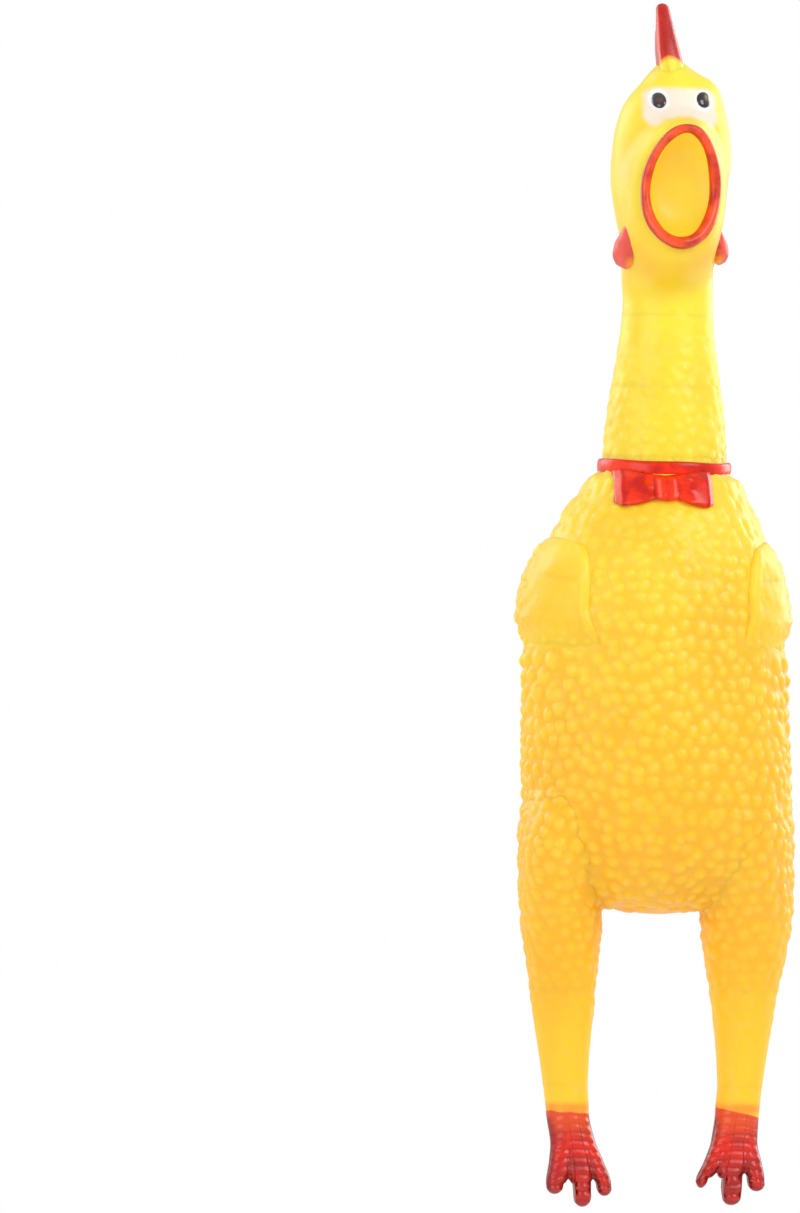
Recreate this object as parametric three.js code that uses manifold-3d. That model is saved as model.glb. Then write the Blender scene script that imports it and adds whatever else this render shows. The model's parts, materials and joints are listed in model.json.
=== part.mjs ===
// A squeezable rubber chicken: a hollow soft vinyl casting with a reed squeaker in its throat.
//
// Millimetres, +Z up. The chicken faces -Y, and its own left side is +X. The origin is the point
// inside the torso that a hand closes round. The casting is cut where it flexes, so each flexing
// stretch is an open rim with the rounded end of its neighbour turning inside it.

import * as THREE from "three";
import { mergeVertices } from "three/addons/utils/BufferGeometryUtils.js";
import Module from "manifold-3d";

const wasm = await Module();
wasm.setup();

// Driving dimensions.

const WALL = 2;
const GAP = 0.4;
const FLEX_SPARE = 0.6;

const TORSO_TOP = 70;
const TORSO_WIDEST = -20;
const TORSO_BOTTOM = -62.5;
const TORSO_HALF_WIDTH = 39.6;
const TORSO_HALF_DEPTH = 32;
const BREAST_SHIFT = 2.5;

const BELLY_HALF_WIDTH = 16;
const BELLY_HALF_HEIGHT = 25;
const BELLY_HEIGHT = 3;

const WING_RISE = 2.4;
const WING_TOP = 46;
const WING_LENGTH = 43;
const WING_BREADTH = 38;
const WING_FRONT_LEFT = -24;
const WING_FRONT_RIGHT = -29;

const TAIL_LENGTH = 13;
const TAIL_HALF_WIDTH = 8;
const TAIL_HEIGHT = -46;

const NECK_BASE_RADIUS = 18.4;
const NECK_TOP_RADIUS = 13.4;
const NECK_LENGTH = 47.5;
const NOD_ABOVE_RIM = 10;
const SWAY_ABOVE_RIM = 31.5;
const NECK_SWING = 35;

const COLLAR_HEIGHT = 3.6;
const COLLAR_THICKNESS = 1.3;
const BOW_WIDTH = 29;
const BOW_HEIGHT = 12;
const BOW_KNOT_HEIGHT = 7;
const BOW_THICKNESS = 3.4;
const BOW_LEAN = 30;
const BOW_TURN = -8;

const HEAD_HEIGHT = 66;
const HEAD_HALF_WIDTH = 17.4;
const HEAD_HALF_DEPTH = 18.8;
const FACE_SHIFT = 1.8;

const MOUTH_ABOVE_NECK = 32;
const LIP_HALF_WIDTH = 10.2;
const LIP_HALF_HEIGHT = 16.5;
const LIP_RADIUS = 1.5;
const LIP_FORWARD = 21.4;
const BEAK_REACH = 6;
const MOUTH_DEPTH = 19.5;
const MUZZLE_SWELL = 0.6;
const THROAT_RADIUS = 5;
const THROAT_FORWARD = 4;

const EYE_ABOVE_NECK = 56;
const EYE_SPACING = 12.8;
const EYE_WIDTH = 3.9;
const EYE_HEIGHT = 4.8;
const EYE_RISE = 0.9;

const WATTLE_WIDTH = 4.2;
const WATTLE_DEPTH = 8;
const WATTLE_LENGTH = 13.4;
const WATTLE_ABOVE_NECK = 14.3;

const COMB_HEIGHT = 18.6;
const COMB_LENGTH = 27;
const COMB_THICKNESS = 4.6;
const COMB_ROUND = 0.9;
const COMB_GAP = 1.5;

const HIP_X = 27.7;
const HIP_Z = -45;
const HIP_SWING = 60;
const THIGH_HALF_WIDTH = 12.9;
const THIGH_HALF_DEPTH = 14;
const THIGH_LENGTH = 47;
const KNEE_X = 26.4;
const KNEE_RADIUS = 8.8;
const KNEE_SWING = 35;
const SHANK_LENGTH = 26;
const ANKLE_X = 24.9;
const ANKLE_RADIUS = 6.2;
const ANKLE_SWING = 35;
const FOOT_X = 22.8;
const FOOT_LENGTH = 29.5;
const FOOT_SPREAD = 15;
const TOE_RADIUS = 2.7;
const PALM_THICKNESS = 4.4;
const FOOT_FORWARD = 7;

const SQUEAKER_CLEARANCE = 2;
const SQUEAKER_LENGTH = 24;
const SQUEAKER_WALL = 1.4;
const SQUEAKER_BELOW_CUP = 2.5;
const SQUEAKER_CAP = 2;
const CAP_HOLE_RADIUS = 0.9;
const CAP_HOLES = 6;
const CARRIER_BASE = 3;
const REED_LENGTH = 13;
const REED_THICKNESS = 0.5;
const REED_OPENING = 0.6;
const CLIP_HEIGHT = 3;
const CLIP_THICKNESS = 1.4;

// Places that follow from them.

const NOD_Z = TORSO_TOP + NOD_ABOVE_RIM;
const SWAY_Z = TORSO_TOP + SWAY_ABOVE_RIM;
const NECK_TOP = TORSO_TOP + NECK_LENGTH;
const HEAD_BOTTOM = NECK_TOP + GAP;
const CROWN = NECK_TOP + HEAD_HEIGHT;
const MOUTH_Z = NECK_TOP + MOUTH_ABOVE_NECK;
const EYE_Z = NECK_TOP + EYE_ABOVE_NECK;
const WATTLE_Z = NECK_TOP + WATTLE_ABOVE_NECK;
const KNEE_Z = HIP_Z - THIGH_LENGTH;
const ANKLE_Z = KNEE_Z - SHANK_LENGTH;
const TOE_Z = ANKLE_Z - FOOT_LENGTH;
const MUZZLE_HALF_WIDTH = LIP_HALF_WIDTH - WALL + MUZZLE_SWELL;
const MUZZLE_HALF_HEIGHT = LIP_HALF_HEIGHT - WALL + MUZZLE_SWELL;
const SQUEAKER_TOP = MOUTH_Z - MUZZLE_HALF_HEIGHT - SQUEAKER_BELOW_CUP;
const SQUEAKER_BOTTOM = SQUEAKER_TOP - SQUEAKER_LENGTH;
const SQUEAKER_RADIUS = NECK_TOP_RADIUS - WALL - SQUEAKER_CLEARANCE;
const SQUEAKER_BORE = SQUEAKER_RADIUS - SQUEAKER_WALL;
const CAP_HOLE_CIRCLE = SQUEAKER_BORE * 0.55;
const CARRIER_WIDTH = SQUEAKER_BORE * 0.8;
const CARRIER_DEPTH = SQUEAKER_BORE * 0.6;
const CARRIER_CHANNEL = SQUEAKER_BORE * 0.45;
const REED_WIDTH = SQUEAKER_BORE * 0.62;

const TORSO_SIDES = 36;
const HEAD_SIDES = 32;
const NECK_SIDES = 28;
const LEG_SIDES = 20;
const SMALL_SIDES = 14;

const paint = (color, roughness) => new THREE.MeshStandardMaterial({ color, roughness, metalness: 0 });
const YELLOW_VINYL = paint(0xfdd038, 0.38);
const PALE_VINYL = paint(0xfbe45c, 0.38);
const RED_PAINT = paint(0xd6301a, 0.25);
const DEEP_RED_PAINT = paint(0xb81408, 0.28);
const EYE_PAINT = paint(0x1c120e, 0.15);
const WHITE_PLASTIC = paint(0xe9e6dc, 0.4);
const RED_PLASTIC = paint(0xb03028, 0.4);
const REED_FILM = paint(0xd8d8d8, 0.2);

const chicken = new THREE.Group();

// General shapes.

const radians = THREE.MathUtils.degToRad;

/** Adds a piece under its name. */
function piece(name, geometry, material) {
  const mesh = new THREE.Mesh(geometry, material);
  mesh.name = name;
  chicken.add(mesh);
  return mesh;
}

/** A manifold solid from a closed geometry. */
function solidOf(geometry) {
  const bare = new THREE.BufferGeometry();
  bare.setAttribute("position", geometry.getAttribute("position").clone());
  if (geometry.index) {
    bare.setIndex(geometry.index.clone());
  }
  const merged = mergeVertices(bare, 1e-4);
  return new wasm.Manifold(new wasm.Mesh({
    numProp: 3,
    vertProperties: new Float32Array(merged.getAttribute("position").array),
    triVerts: new Uint32Array(merged.index.array),
  }));
}

/** A geometry from a manifold solid. */
function geometryOf(solid) {
  const mesh = solid.getMesh();
  const geometry = new THREE.BufferGeometry();
  geometry.setAttribute("position", new THREE.BufferAttribute(mesh.vertProperties, 3));
  geometry.setIndex(new THREE.BufferAttribute(mesh.triVerts, 1));
  geometry.computeVertexNormals();
  return geometry;
}

/** A level ring of points: an ellipse at height z, lifted by lift(angle) where one is given. */
function ring(z, halfWidth, halfDepth, x = 0, y = 0, sides = NECK_SIDES, lift = null) {
  return Array.from({ length: sides }, (_, i) => {
    const angle = (2 * Math.PI * i) / sides;
    const height = z + (lift ? lift(angle) : 0);
    return new THREE.Vector3(x + halfWidth * Math.cos(angle), y + halfDepth * Math.sin(angle), height);
  });
}

/** A closed surface over rings that run up the outside and down the inside. One point is a pole. */
function ringSolid(rings, looped = false) {
  const points = rings.flat();
  const starts = [];
  let count = 0;
  for (const r of rings) {
    starts.push(count);
    count += r.length;
  }
  const index = [];
  const last = looped ? rings.length : rings.length - 1;
  for (let k = 0; k < last; k += 1) {
    const next = (k + 1) % rings.length;
    const lower = rings[k].length;
    const upper = rings[next].length;
    const sides = Math.max(lower, upper);
    for (let i = 0; i < sides; i += 1) {
      const j = (i + 1) % sides;
      const a = starts[k] + (lower > 1 ? i : 0);
      const b = starts[k] + (lower > 1 ? j : 0);
      const c = starts[next] + (upper > 1 ? i : 0);
      const d = starts[next] + (upper > 1 ? j : 0);
      if (lower > 1) {
        index.push(a, b, c);
      }
      if (upper > 1) {
        index.push(b, d, c);
      }
    }
  }
  const geometry = new THREE.BufferGeometry().setFromPoints(points);
  geometry.setIndex(index);
  geometry.computeVertexNormals();
  return geometry;
}

/** Rings with a flat or pointed end closed by a pole at its middle. */
function capped(rings) {
  const middle = (points) => points
    .reduce((sum, p) => sum.add(p), new THREE.Vector3())
    .divideScalar(points.length);
  return ringSolid([[middle(rings[0])], ...rings, [middle(rings[rings.length - 1])]]);
}

/** A box whose centre is given. */
function block(width, depth, height, x, y, z) {
  return new THREE.BoxGeometry(width, depth, height).translate(x, y, z);
}

/** A round bar along Z between two heights. */
function bar(radius, bottom, top, x = 0, y = 0, sides = SMALL_SIDES) {
  const geometry = new THREE.CylinderGeometry(radius, radius, top - bottom, sides);
  return geometry.rotateX(Math.PI / 2).translate(x, y, (top + bottom) / 2);
}

/** An ellipsoid about a centre. */
function egg(halfWidth, halfDepth, halfHeight, x, y, z, sides = SMALL_SIDES) {
  return new THREE.SphereGeometry(1, sides, sides / 2)
    .rotateX(Math.PI / 2)
    .scale(halfWidth, halfDepth, halfHeight)
    .translate(x, y, z);
}

/** An outline in the YZ plane, extruded along +X from x = start. */
function sideways(shape, start, length, options = {}) {
  const geometry = new THREE.ExtrudeGeometry(shape, { depth: length, bevelEnabled: false, ...options });
  const basis = new THREE.Matrix4().makeBasis(
    new THREE.Vector3(0, 1, 0),
    new THREE.Vector3(0, 0, 1),
    new THREE.Vector3(1, 0, 0),
  );
  return geometry.applyMatrix4(basis).translate(start, 0, 0);
}

/** Straight-line interpolation in rows of [place, value, value, ...], which may run up or down. */
function along(rows, place) {
  const rising = rows[0][0] < rows[rows.length - 1][0];
  const sorted = rising ? rows : [...rows].reverse();
  const at = THREE.MathUtils.clamp(place, sorted[0][0], sorted[sorted.length - 1][0]);
  const k = Math.max(1, sorted.findIndex((row) => row[0] >= at));
  const share = (at - sorted[k - 1][0]) / (sorted[k][0] - sorted[k - 1][0]);
  return sorted[k].slice(1).map((value, i) => THREE.MathUtils.lerp(sorted[k - 1][i + 1], value, share));
}

// Torso.

// Rows of [share of the drop from the rim to the widest height, share of the widening across, in depth].
const SHOULDERS = [
  [0, 0, 0],
  [0.067, 0.15, 0.17],
  [0.133, 0.32, 0.42],
  [0.2, 0.49, 0.63],
  [0.26, 0.63, 0.78],
  [0.32, 0.77, 0.88],
  [0.4, 0.86, 0.96],
  [0.52, 0.93, 1],
  [0.76, 0.97, 1.01],
  [1, 1, 1],
];
const BELLY_STEPS = 7;
const BELLY_SQUARENESS = 0.77;

/** The torso's rings, upwards, set inwards by inset. The underside is a squarish dome. */
function torsoRings(inset) {
  const neck = NECK_BASE_RADIUS - inset;
  const halfWidth = TORSO_HALF_WIDTH - inset;
  const halfDepth = TORSO_HALF_DEPTH - inset;
  const bottom = TORSO_BOTTOM + inset;
  const level = (z, across, deep) => {
    const share = (z - TORSO_BOTTOM) / (TORSO_TOP - TORSO_BOTTOM);
    const y = -BREAST_SHIFT * 4 * share * (1 - share);
    return ring(z, across, deep, 0, y, TORSO_SIDES);
  };
  const rings = [[new THREE.Vector3(0, 0, bottom)]];
  for (let i = BELLY_STEPS; i >= 1; i -= 1) {
    const angle = (Math.PI / 2) * (i / (BELLY_STEPS + 1));
    const z = TORSO_WIDEST - (TORSO_WIDEST - bottom) * Math.sin(angle) ** BELLY_SQUARENESS;
    rings.push(level(z, halfWidth * Math.cos(angle), halfDepth * Math.cos(angle)));
  }
  for (const [drop, across, deep] of [...SHOULDERS].reverse()) {
    const z = TORSO_TOP - drop * (TORSO_TOP - TORSO_WIDEST);
    rings.push(level(z, neck + (halfWidth - neck) * across, neck + (halfDepth - neck) * deep));
  }
  return rings;
}

/** The half width, half depth and middle of the torso's outside at a height. */
function torsoAt(z) {
  const drop = (TORSO_TOP - z) / (TORSO_TOP - TORSO_WIDEST);
  const [across, deep] = along(SHOULDERS, drop);
  const share = (z - TORSO_BOTTOM) / (TORSO_TOP - TORSO_BOTTOM);
  return {
    halfWidth: NECK_BASE_RADIUS + (TORSO_HALF_WIDTH - NECK_BASE_RADIUS) * across,
    halfDepth: NECK_BASE_RADIUS + (TORSO_HALF_DEPTH - NECK_BASE_RADIUS) * deep,
    y: -BREAST_SHIFT * 4 * share * (1 - share),
  };
}

/** The torso as one filled solid, set outwards by grow. */
function torsoFilled(grow) {
  const rings = torsoRings(-grow);
  const top = rings[rings.length - 1][0].z;
  return solidOf(ringSolid([...rings, [new THREE.Vector3(0, 0, top)]]));
}

/** The room that one thigh needs in the torso: its ball, and the wedge that it swings in. */
function hipRoom(side) {
  const reach = THIGH_HALF_DEPTH + GAP;
  const ball = egg(THIGH_HALF_WIDTH + GAP, reach, reach, side * HIP_X, 0, HIP_Z, LEG_SIDES);
  const far = 3 * TORSO_HALF_WIDTH;
  const swing = radians(HIP_SWING);
  const shape = new THREE.Shape();
  const edgeY = reach * Math.cos(swing);
  const edgeZ = HIP_Z + reach * Math.sin(swing);
  shape.moveTo(-edgeY, edgeZ);
  shape.lineTo(-edgeY - far * Math.sin(swing), edgeZ - far * Math.cos(swing));
  shape.lineTo(edgeY + far * Math.sin(swing), edgeZ - far * Math.cos(swing));
  shape.lineTo(edgeY, edgeZ);
  const inner = HIP_X - THIGH_HALF_WIDTH - GAP;
  const start = side > 0 ? inner : -inner - far;
  return solidOf(ball).add(solidOf(sideways(shape, start, far)));
}

/** The oval bar along Y that cuts the belly panel out of the breast. */
function bellyCut(grow) {
  const depth = 2 * TORSO_HALF_DEPTH;
  const sides = 32;
  return solidOf(new THREE.CylinderGeometry(1, 1, depth, sides)
    .scale(BELLY_HALF_WIDTH + grow, 1, BELLY_HALF_HEIGHT + grow)
    .translate(0, -depth / 2, BELLY_HEIGHT));
}

function buildTorso() {
  const shell = solidOf(ringSolid([...torsoRings(0), ...torsoRings(WALL).reverse()]));
  const holed = shell.subtract(hipRoom(1)).subtract(hipRoom(-1));
  piece("torso_shell", geometryOf(holed.subtract(bellyCut(GAP))), YELLOW_VINYL);
  piece("belly_panel", geometryOf(shell.intersect(bellyCut(0))), YELLOW_VINYL);
}

// Wings and tail, moulded on the torso.

/** A wing outline in the YZ plane: a round shoulder, a long front rim to a low tip, and a short back. */
function wingOutline(front) {
  const back = front + WING_BREADTH;
  const middle = front + WING_BREADTH * 0.45;
  const low = WING_TOP - WING_LENGTH;
  const shape = new THREE.Shape();
  shape.moveTo(front, WING_TOP - WING_LENGTH * 0.25);
  shape.quadraticCurveTo(front, WING_TOP, middle, WING_TOP);
  shape.quadraticCurveTo(back, WING_TOP, back, WING_TOP - WING_LENGTH * 0.45);
  shape.quadraticCurveTo(back, low, middle, low);
  shape.quadraticCurveTo(front, low, front, WING_TOP - WING_LENGTH * 0.72);
  shape.closePath();
  return shape;
}

function buildWing(name, side, front) {
  const reach = TORSO_HALF_WIDTH + WING_RISE;
  const inner = TORSO_HALF_WIDTH * 0.2;
  const start = side > 0 ? inner : -inner - reach;
  const outline = solidOf(sideways(wingOutline(front), start, reach, { curveSegments: 6 }));
  const layer = torsoFilled(WING_RISE).subtract(torsoFilled(GAP));
  piece(name, geometryOf(layer.intersect(outline)), YELLOW_VINYL);
}

function buildTail() {
  const back = TORSO_HALF_DEPTH * 0.72;
  const body = solidOf(egg(TAIL_HALF_WIDTH, TAIL_LENGTH, TAIL_HALF_WIDTH * 0.8, 0, back, TAIL_HEIGHT));
  piece("tail", geometryOf(body.subtract(torsoFilled(GAP))), YELLOW_VINYL);
}

// Collar and bow tie, moulded at the foot of the neck.

/** The collar's own rings, set outwards by grow, as a ring that closes on itself. */
function collarRings(grow) {
  const inside = GAP - grow;
  const outside = GAP + COLLAR_THICKNESS + grow;
  const top = TORSO_TOP - GAP + grow;
  const bottom = TORSO_TOP - GAP - COLLAR_HEIGHT - grow;
  const level = (z, out) => {
    const { halfWidth, halfDepth, y } = torsoAt(Math.min(z, TORSO_TOP));
    return ring(z, halfWidth + out, halfDepth + out, 0, y, TORSO_SIDES);
  };
  return [level(bottom, outside), level(top, outside), level(top, inside), level(bottom, inside)];
}

/** Half of the bow's outline: a pinched knot, a flaring loop and a rounded end. */
function bowOutline() {
  const half = BOW_WIDTH / 2;
  const knot = BOW_KNOT_HEIGHT / 2;
  const end = BOW_HEIGHT / 2;
  const shape = new THREE.Shape();
  shape.moveTo(0, -knot);
  shape.quadraticCurveTo(half * 0.4, -knot, half * 0.85, -end);
  shape.quadraticCurveTo(half * 1.1, 0, half * 0.85, end);
  shape.quadraticCurveTo(half * 0.4, knot, 0, knot);
  shape.quadraticCurveTo(-half * 0.4, knot, -half * 0.85, end);
  shape.quadraticCurveTo(-half * 1.1, 0, -half * 0.85, -end);
  shape.quadraticCurveTo(-half * 0.4, -knot, 0, -knot);
  return shape;
}

function buildCollar() {
  piece("collar_band", ringSolid(collarRings(0), true), RED_PAINT);
  const middle = TORSO_TOP - BOW_HEIGHT * 0.62;
  const chest = torsoAt(middle);
  const forward = chest.halfDepth - chest.y;
  const thickness = BOW_THICKNESS * 2;
  const bow = new THREE.ExtrudeGeometry(bowOutline(), { depth: thickness, bevelEnabled: false, curveSegments: 5 })
    .translate(0, 0, -BOW_THICKNESS)
    .rotateX(Math.PI / 2 - radians(BOW_LEAN))
    .translate(0, -forward, middle)
    .rotateZ(radians(BOW_TURN));
  const clearCollar = solidOf(ringSolid(collarRings(GAP), true));
  const knotted = solidOf(bow).subtract(torsoFilled(GAP)).subtract(clearCollar);
  const outside = knotted.decompose().sort((a, b) => b.volume() - a.volume())[0];
  piece("bow_tie", geometryOf(outside), RED_PAINT);
}

// Neck.

/** The neck's outside radius at a height: a smooth fall from its base to its top. */
function neckRadius(z) {
  const share = THREE.MathUtils.clamp((z - TORSO_TOP) / NECK_LENGTH, 0, 1);
  return NECK_TOP_RADIUS + (NECK_BASE_RADIUS - NECK_TOP_RADIUS) * 0.5 * (1 + Math.cos(Math.PI * share));
}

/** How far a rim stops short of the pivot of the ball inside it, so that ball and tube clear the rim. */
function rimDrop(radius, swing) {
  const bore = radius - WALL - GAP;
  const ballClears = Math.sqrt(radius * radius - bore * bore);
  return Math.max(radius * Math.sin(radians(swing)), ballClears) + FLEX_SPARE;
}

const BALL_ANGLES = [32, 50, 70];

/** A tube with a ball end about its pivot below and an open rim above, with an airway through. */
function neckTube(pivot, top) {
  const rings = (inset) => {
    const radius = neckRadius(pivot) - inset;
    const ball = BALL_ANGLES.map((angle) => {
      const a = radians(angle);
      return ring(pivot - radius * Math.cos(a), radius * Math.sin(a), radius * Math.sin(a));
    });
    const tube = [0, 0.5, 1].map((share) => {
      const z = THREE.MathUtils.lerp(pivot, top, share);
      return ring(z, neckRadius(z) - inset, neckRadius(z) - inset);
    });
    return [...ball, ...tube];
  };
  return ringSolid([...rings(0), ...rings(WALL).reverse()], true);
}

function buildNeck() {
  const swayRim = SWAY_Z - rimDrop(neckRadius(SWAY_Z), NECK_SWING);
  piece("neck_lower", neckTube(NOD_Z, swayRim), YELLOW_VINYL);
  piece("neck_upper", neckTube(SWAY_Z, NECK_TOP), PALE_VINYL);
}

// Head.

// Rows of [share of the head's height, width, depth, share of the face's shift]. Up to the widest row,
// width and depth are shares of the widening from the neck, and above it of the head's own half sizes.
const WIDEST_ROW = 5;
const HEAD_OUTLINE = [
  [0, 0, 0, 0],
  [0.1, 0, 0.06, 0.2],
  [0.2, 0.04, 0.37, 0.7],
  [0.32, 0.43, 0.76, 1],
  [0.44, 0.87, 0.96, 1],
  [0.56, 1, 1, 0.9],
  [0.68, 0.97, 0.98, 0.5],
  [0.79, 0.88, 0.9, 0.1],
  [0.88, 0.72, 0.75, -0.2],
  [0.95, 0.5, 0.54, -0.4],
  [0.985, 0.27, 0.31, -0.5],
];

const HEAD_ROWS = HEAD_OUTLINE.map(([share, across, deep, shift], i) => {
  const size = (full, part) => (i <= WIDEST_ROW
    ? THREE.MathUtils.lerp(NECK_TOP_RADIUS, full, part)
    : full * part);
  return [
    HEAD_BOTTOM + share * (CROWN - HEAD_BOTTOM),
    size(HEAD_HALF_WIDTH, across),
    size(HEAD_HALF_DEPTH, deep),
    -FACE_SHIFT * shift,
  ];
});

/** The half width, half depth and middle of the head's outside at a height. */
function headAt(z) {
  const [halfWidth, halfDepth, y] = along(HEAD_ROWS, z);
  return { halfWidth, halfDepth, y };
}

/** The head's rings, upwards, set inwards by inset. */
function headRings(inset) {
  const rings = HEAD_ROWS.map(([z, halfWidth, halfDepth, y]) => {
    const share = (z - HEAD_BOTTOM) / (CROWN - HEAD_BOTTOM);
    const sink = share > 0.5 ? inset * share : 0;
    return ring(z - sink, halfWidth - inset, halfDepth - inset, 0, y, HEAD_SIDES);
  });
  rings.push([new THREE.Vector3(0, FACE_SHIFT * 0.5, CROWN - inset)]);
  return rings;
}

/** The head as one filled solid, set outwards by grow. */
function headFilled(grow) {
  return solidOf(ringSolid([[new THREE.Vector3(0, 0, HEAD_BOTTOM)], ...headRings(-grow)]));
}

const lipReach = (angle) => LIP_FORWARD + BEAK_REACH * Math.sin(angle) ** 2;

/** Turns a shape built with +Z as its front and +Y as its top to face -Y with +Z up, at the mouth. */
function facing(geometry) {
  return geometry.rotateX(Math.PI / 2).translate(0, 0, MOUTH_Z);
}

/** The muzzle and mouth as a cup: rows of [forward, half width, half height, share of the beak's reach]. */
function mouthRings(inset, grow) {
  const behindLip = LIP_FORWARD - LIP_RADIUS - GAP;
  const neckIn = MUZZLE_HALF_WIDTH + grow;
  const rise = MUZZLE_HALF_HEIGHT + grow;
  const back = LIP_FORWARD - MOUTH_DEPTH;
  const rows = [
    [back + MOUTH_DEPTH * 0.02, neckIn * 0.4, rise * 0.45, 0],
    [back + MOUTH_DEPTH * 0.14, neckIn * 0.78, rise * 0.82, 0],
    [back + MOUTH_DEPTH * 0.4, neckIn * 0.97, rise * 0.99, 0],
    [behindLip - 1.2, neckIn, rise, 0.2],
    [behindLip, LIP_HALF_WIDTH + WALL * 0.4 + grow, LIP_HALF_HEIGHT + WALL * 0.4 + grow, 1],
  ];
  const rings = rows.map(([forward, halfWidth, halfHeight, share]) => {
    const lift = (angle) => share * BEAK_REACH * Math.sin(angle) ** 2;
    return ring(forward, halfWidth - inset, halfHeight - inset, 0, 0, HEAD_SIDES, lift);
  });
  return [[new THREE.Vector3(0, 0, back + inset)], ...rings];
}

function buildHead() {
  const shell = solidOf(ringSolid([...headRings(0), ...headRings(WALL).reverse()], true));
  const mouthHole = solidOf(facing(capped(mouthRings(0, GAP).slice(1))));
  piece("head_shell", geometryOf(shell.subtract(mouthHole)), PALE_VINYL);

  const cup = facing(ringSolid([...mouthRings(0, 0), ...mouthRings(WALL, 0).reverse()]));
  const throat = bar(THROAT_RADIUS, MOUTH_Z - LIP_HALF_HEIGHT - WALL, MOUTH_Z, 0, -THROAT_FORWARD);
  piece("mouth_lining", geometryOf(solidOf(cup).subtract(solidOf(throat))), YELLOW_VINYL);

  const lipSides = 9;
  const lipLine = (turn) => {
    const angle = (2 * Math.PI * turn) / HEAD_SIDES;
    return Array.from({ length: lipSides }, (_, i) => {
      const round = (-2 * Math.PI * i) / lipSides;
      const out = LIP_RADIUS * Math.cos(round);
      const x = (LIP_HALF_WIDTH + out) * Math.cos(angle);
      const y = (LIP_HALF_HEIGHT + out) * Math.sin(angle);
      return new THREE.Vector3(x, y, lipReach(angle) + LIP_RADIUS * Math.sin(round));
    });
  };
  const lip = ringSolid(Array.from({ length: HEAD_SIDES }, (_, i) => lipLine(i)), true);
  piece("beak_rim", facing(lip), RED_PAINT);
}

function buildEyes() {
  const clear = headFilled(GAP);
  for (const [name, side] of [["eye_left", 1], ["eye_right", -1]]) {
    const head = headAt(EYE_Z);
    const share = EYE_SPACING / 2 / head.halfWidth;
    const y = head.y - head.halfDepth * Math.sqrt(1 - share * share);
    const dome = egg(EYE_WIDTH / 2, EYE_RISE * 2.2, EYE_HEIGHT / 2, side * EYE_SPACING / 2, y, EYE_Z, 16);
    piece(name, geometryOf(solidOf(dome).subtract(clear)), EYE_PAINT);
  }
}

function buildWattles() {
  const clear = headFilled(GAP);
  const head = headAt(WATTLE_Z);
  for (const [name, side] of [["wattle_left", 1], ["wattle_right", -1]]) {
    const x = side * (head.halfWidth + 0.1 * WATTLE_WIDTH);
    const lobe = egg(WATTLE_WIDTH / 2, WATTLE_DEPTH / 2, WATTLE_LENGTH / 2, 0, 0, 0, 16)
      .rotateY(radians(-side * 12))
      .translate(x, 2 * head.y, WATTLE_Z);
    piece(name, geometryOf(solidOf(lobe).subtract(clear)), RED_PAINT);
  }
}

/** The comb's outline in the YZ plane: three rounded points over a foot that follows the crown. */
function buildComb() {
  const front = -COMB_LENGTH * 0.42;
  const back = COMB_LENGTH * 0.58;
  const foot = CROWN - HEAD_HEIGHT * 0.1;
  const top = CROWN + COMB_HEIGHT - COMB_ROUND;
  const shape = new THREE.Shape();
  shape.moveTo(front + 3, foot);
  shape.quadraticCurveTo(front - 2, CROWN + COMB_HEIGHT * 0.4, front + 4, CROWN + COMB_HEIGHT * 0.62);
  shape.quadraticCurveTo(front + 6.5, CROWN + COMB_HEIGHT * 0.65, front + 7, CROWN + COMB_HEIGHT * 0.55);
  shape.quadraticCurveTo(front + 7.5, top, front + 12, top);
  shape.quadraticCurveTo(front + 16.5, top, front + 17, CROWN + COMB_HEIGHT * 0.6);
  shape.quadraticCurveTo(front + 18, CROWN + COMB_HEIGHT * 0.86, front + 22, CROWN + COMB_HEIGHT * 0.8);
  shape.quadraticCurveTo(back + 1, CROWN + COMB_HEIGHT * 0.66, back - 2, foot);
  shape.closePath();
  const thickness = COMB_THICKNESS - 2 * COMB_ROUND;
  const fin = sideways(shape, 0, thickness, {
    bevelEnabled: true,
    bevelThickness: COMB_ROUND,
    bevelSize: COMB_ROUND,
    bevelSegments: 1,
    curveSegments: 5,
  });
  fin.translate(-thickness / 2, 0, 0);
  piece("comb", geometryOf(solidOf(fin).subtract(headFilled(COMB_GAP))), RED_PAINT);
}

// Legs.

/** The middle, half width and half depth of a leg at a height, for the leg on one side. */
function legAt(side, z) {
  if (z >= KNEE_Z) {
    const share = Math.max(0, (HIP_Z - z) / THIGH_LENGTH);
    const fullness = 1 - share ** 2.3;
    return {
      x: side * THREE.MathUtils.lerp(HIP_X, KNEE_X, share),
      halfWidth: KNEE_RADIUS + (THIGH_HALF_WIDTH - KNEE_RADIUS) * fullness,
      halfDepth: KNEE_RADIUS + (THIGH_HALF_DEPTH - KNEE_RADIUS) * fullness,
    };
  }
  const share = Math.min(1, (KNEE_Z - z) / SHANK_LENGTH);
  const radius = THREE.MathUtils.lerp(KNEE_RADIUS, ANKLE_RADIUS, share);
  return { x: side * THREE.MathUtils.lerp(KNEE_X, ANKLE_X, share), halfWidth: radius, halfDepth: radius };
}

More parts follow.
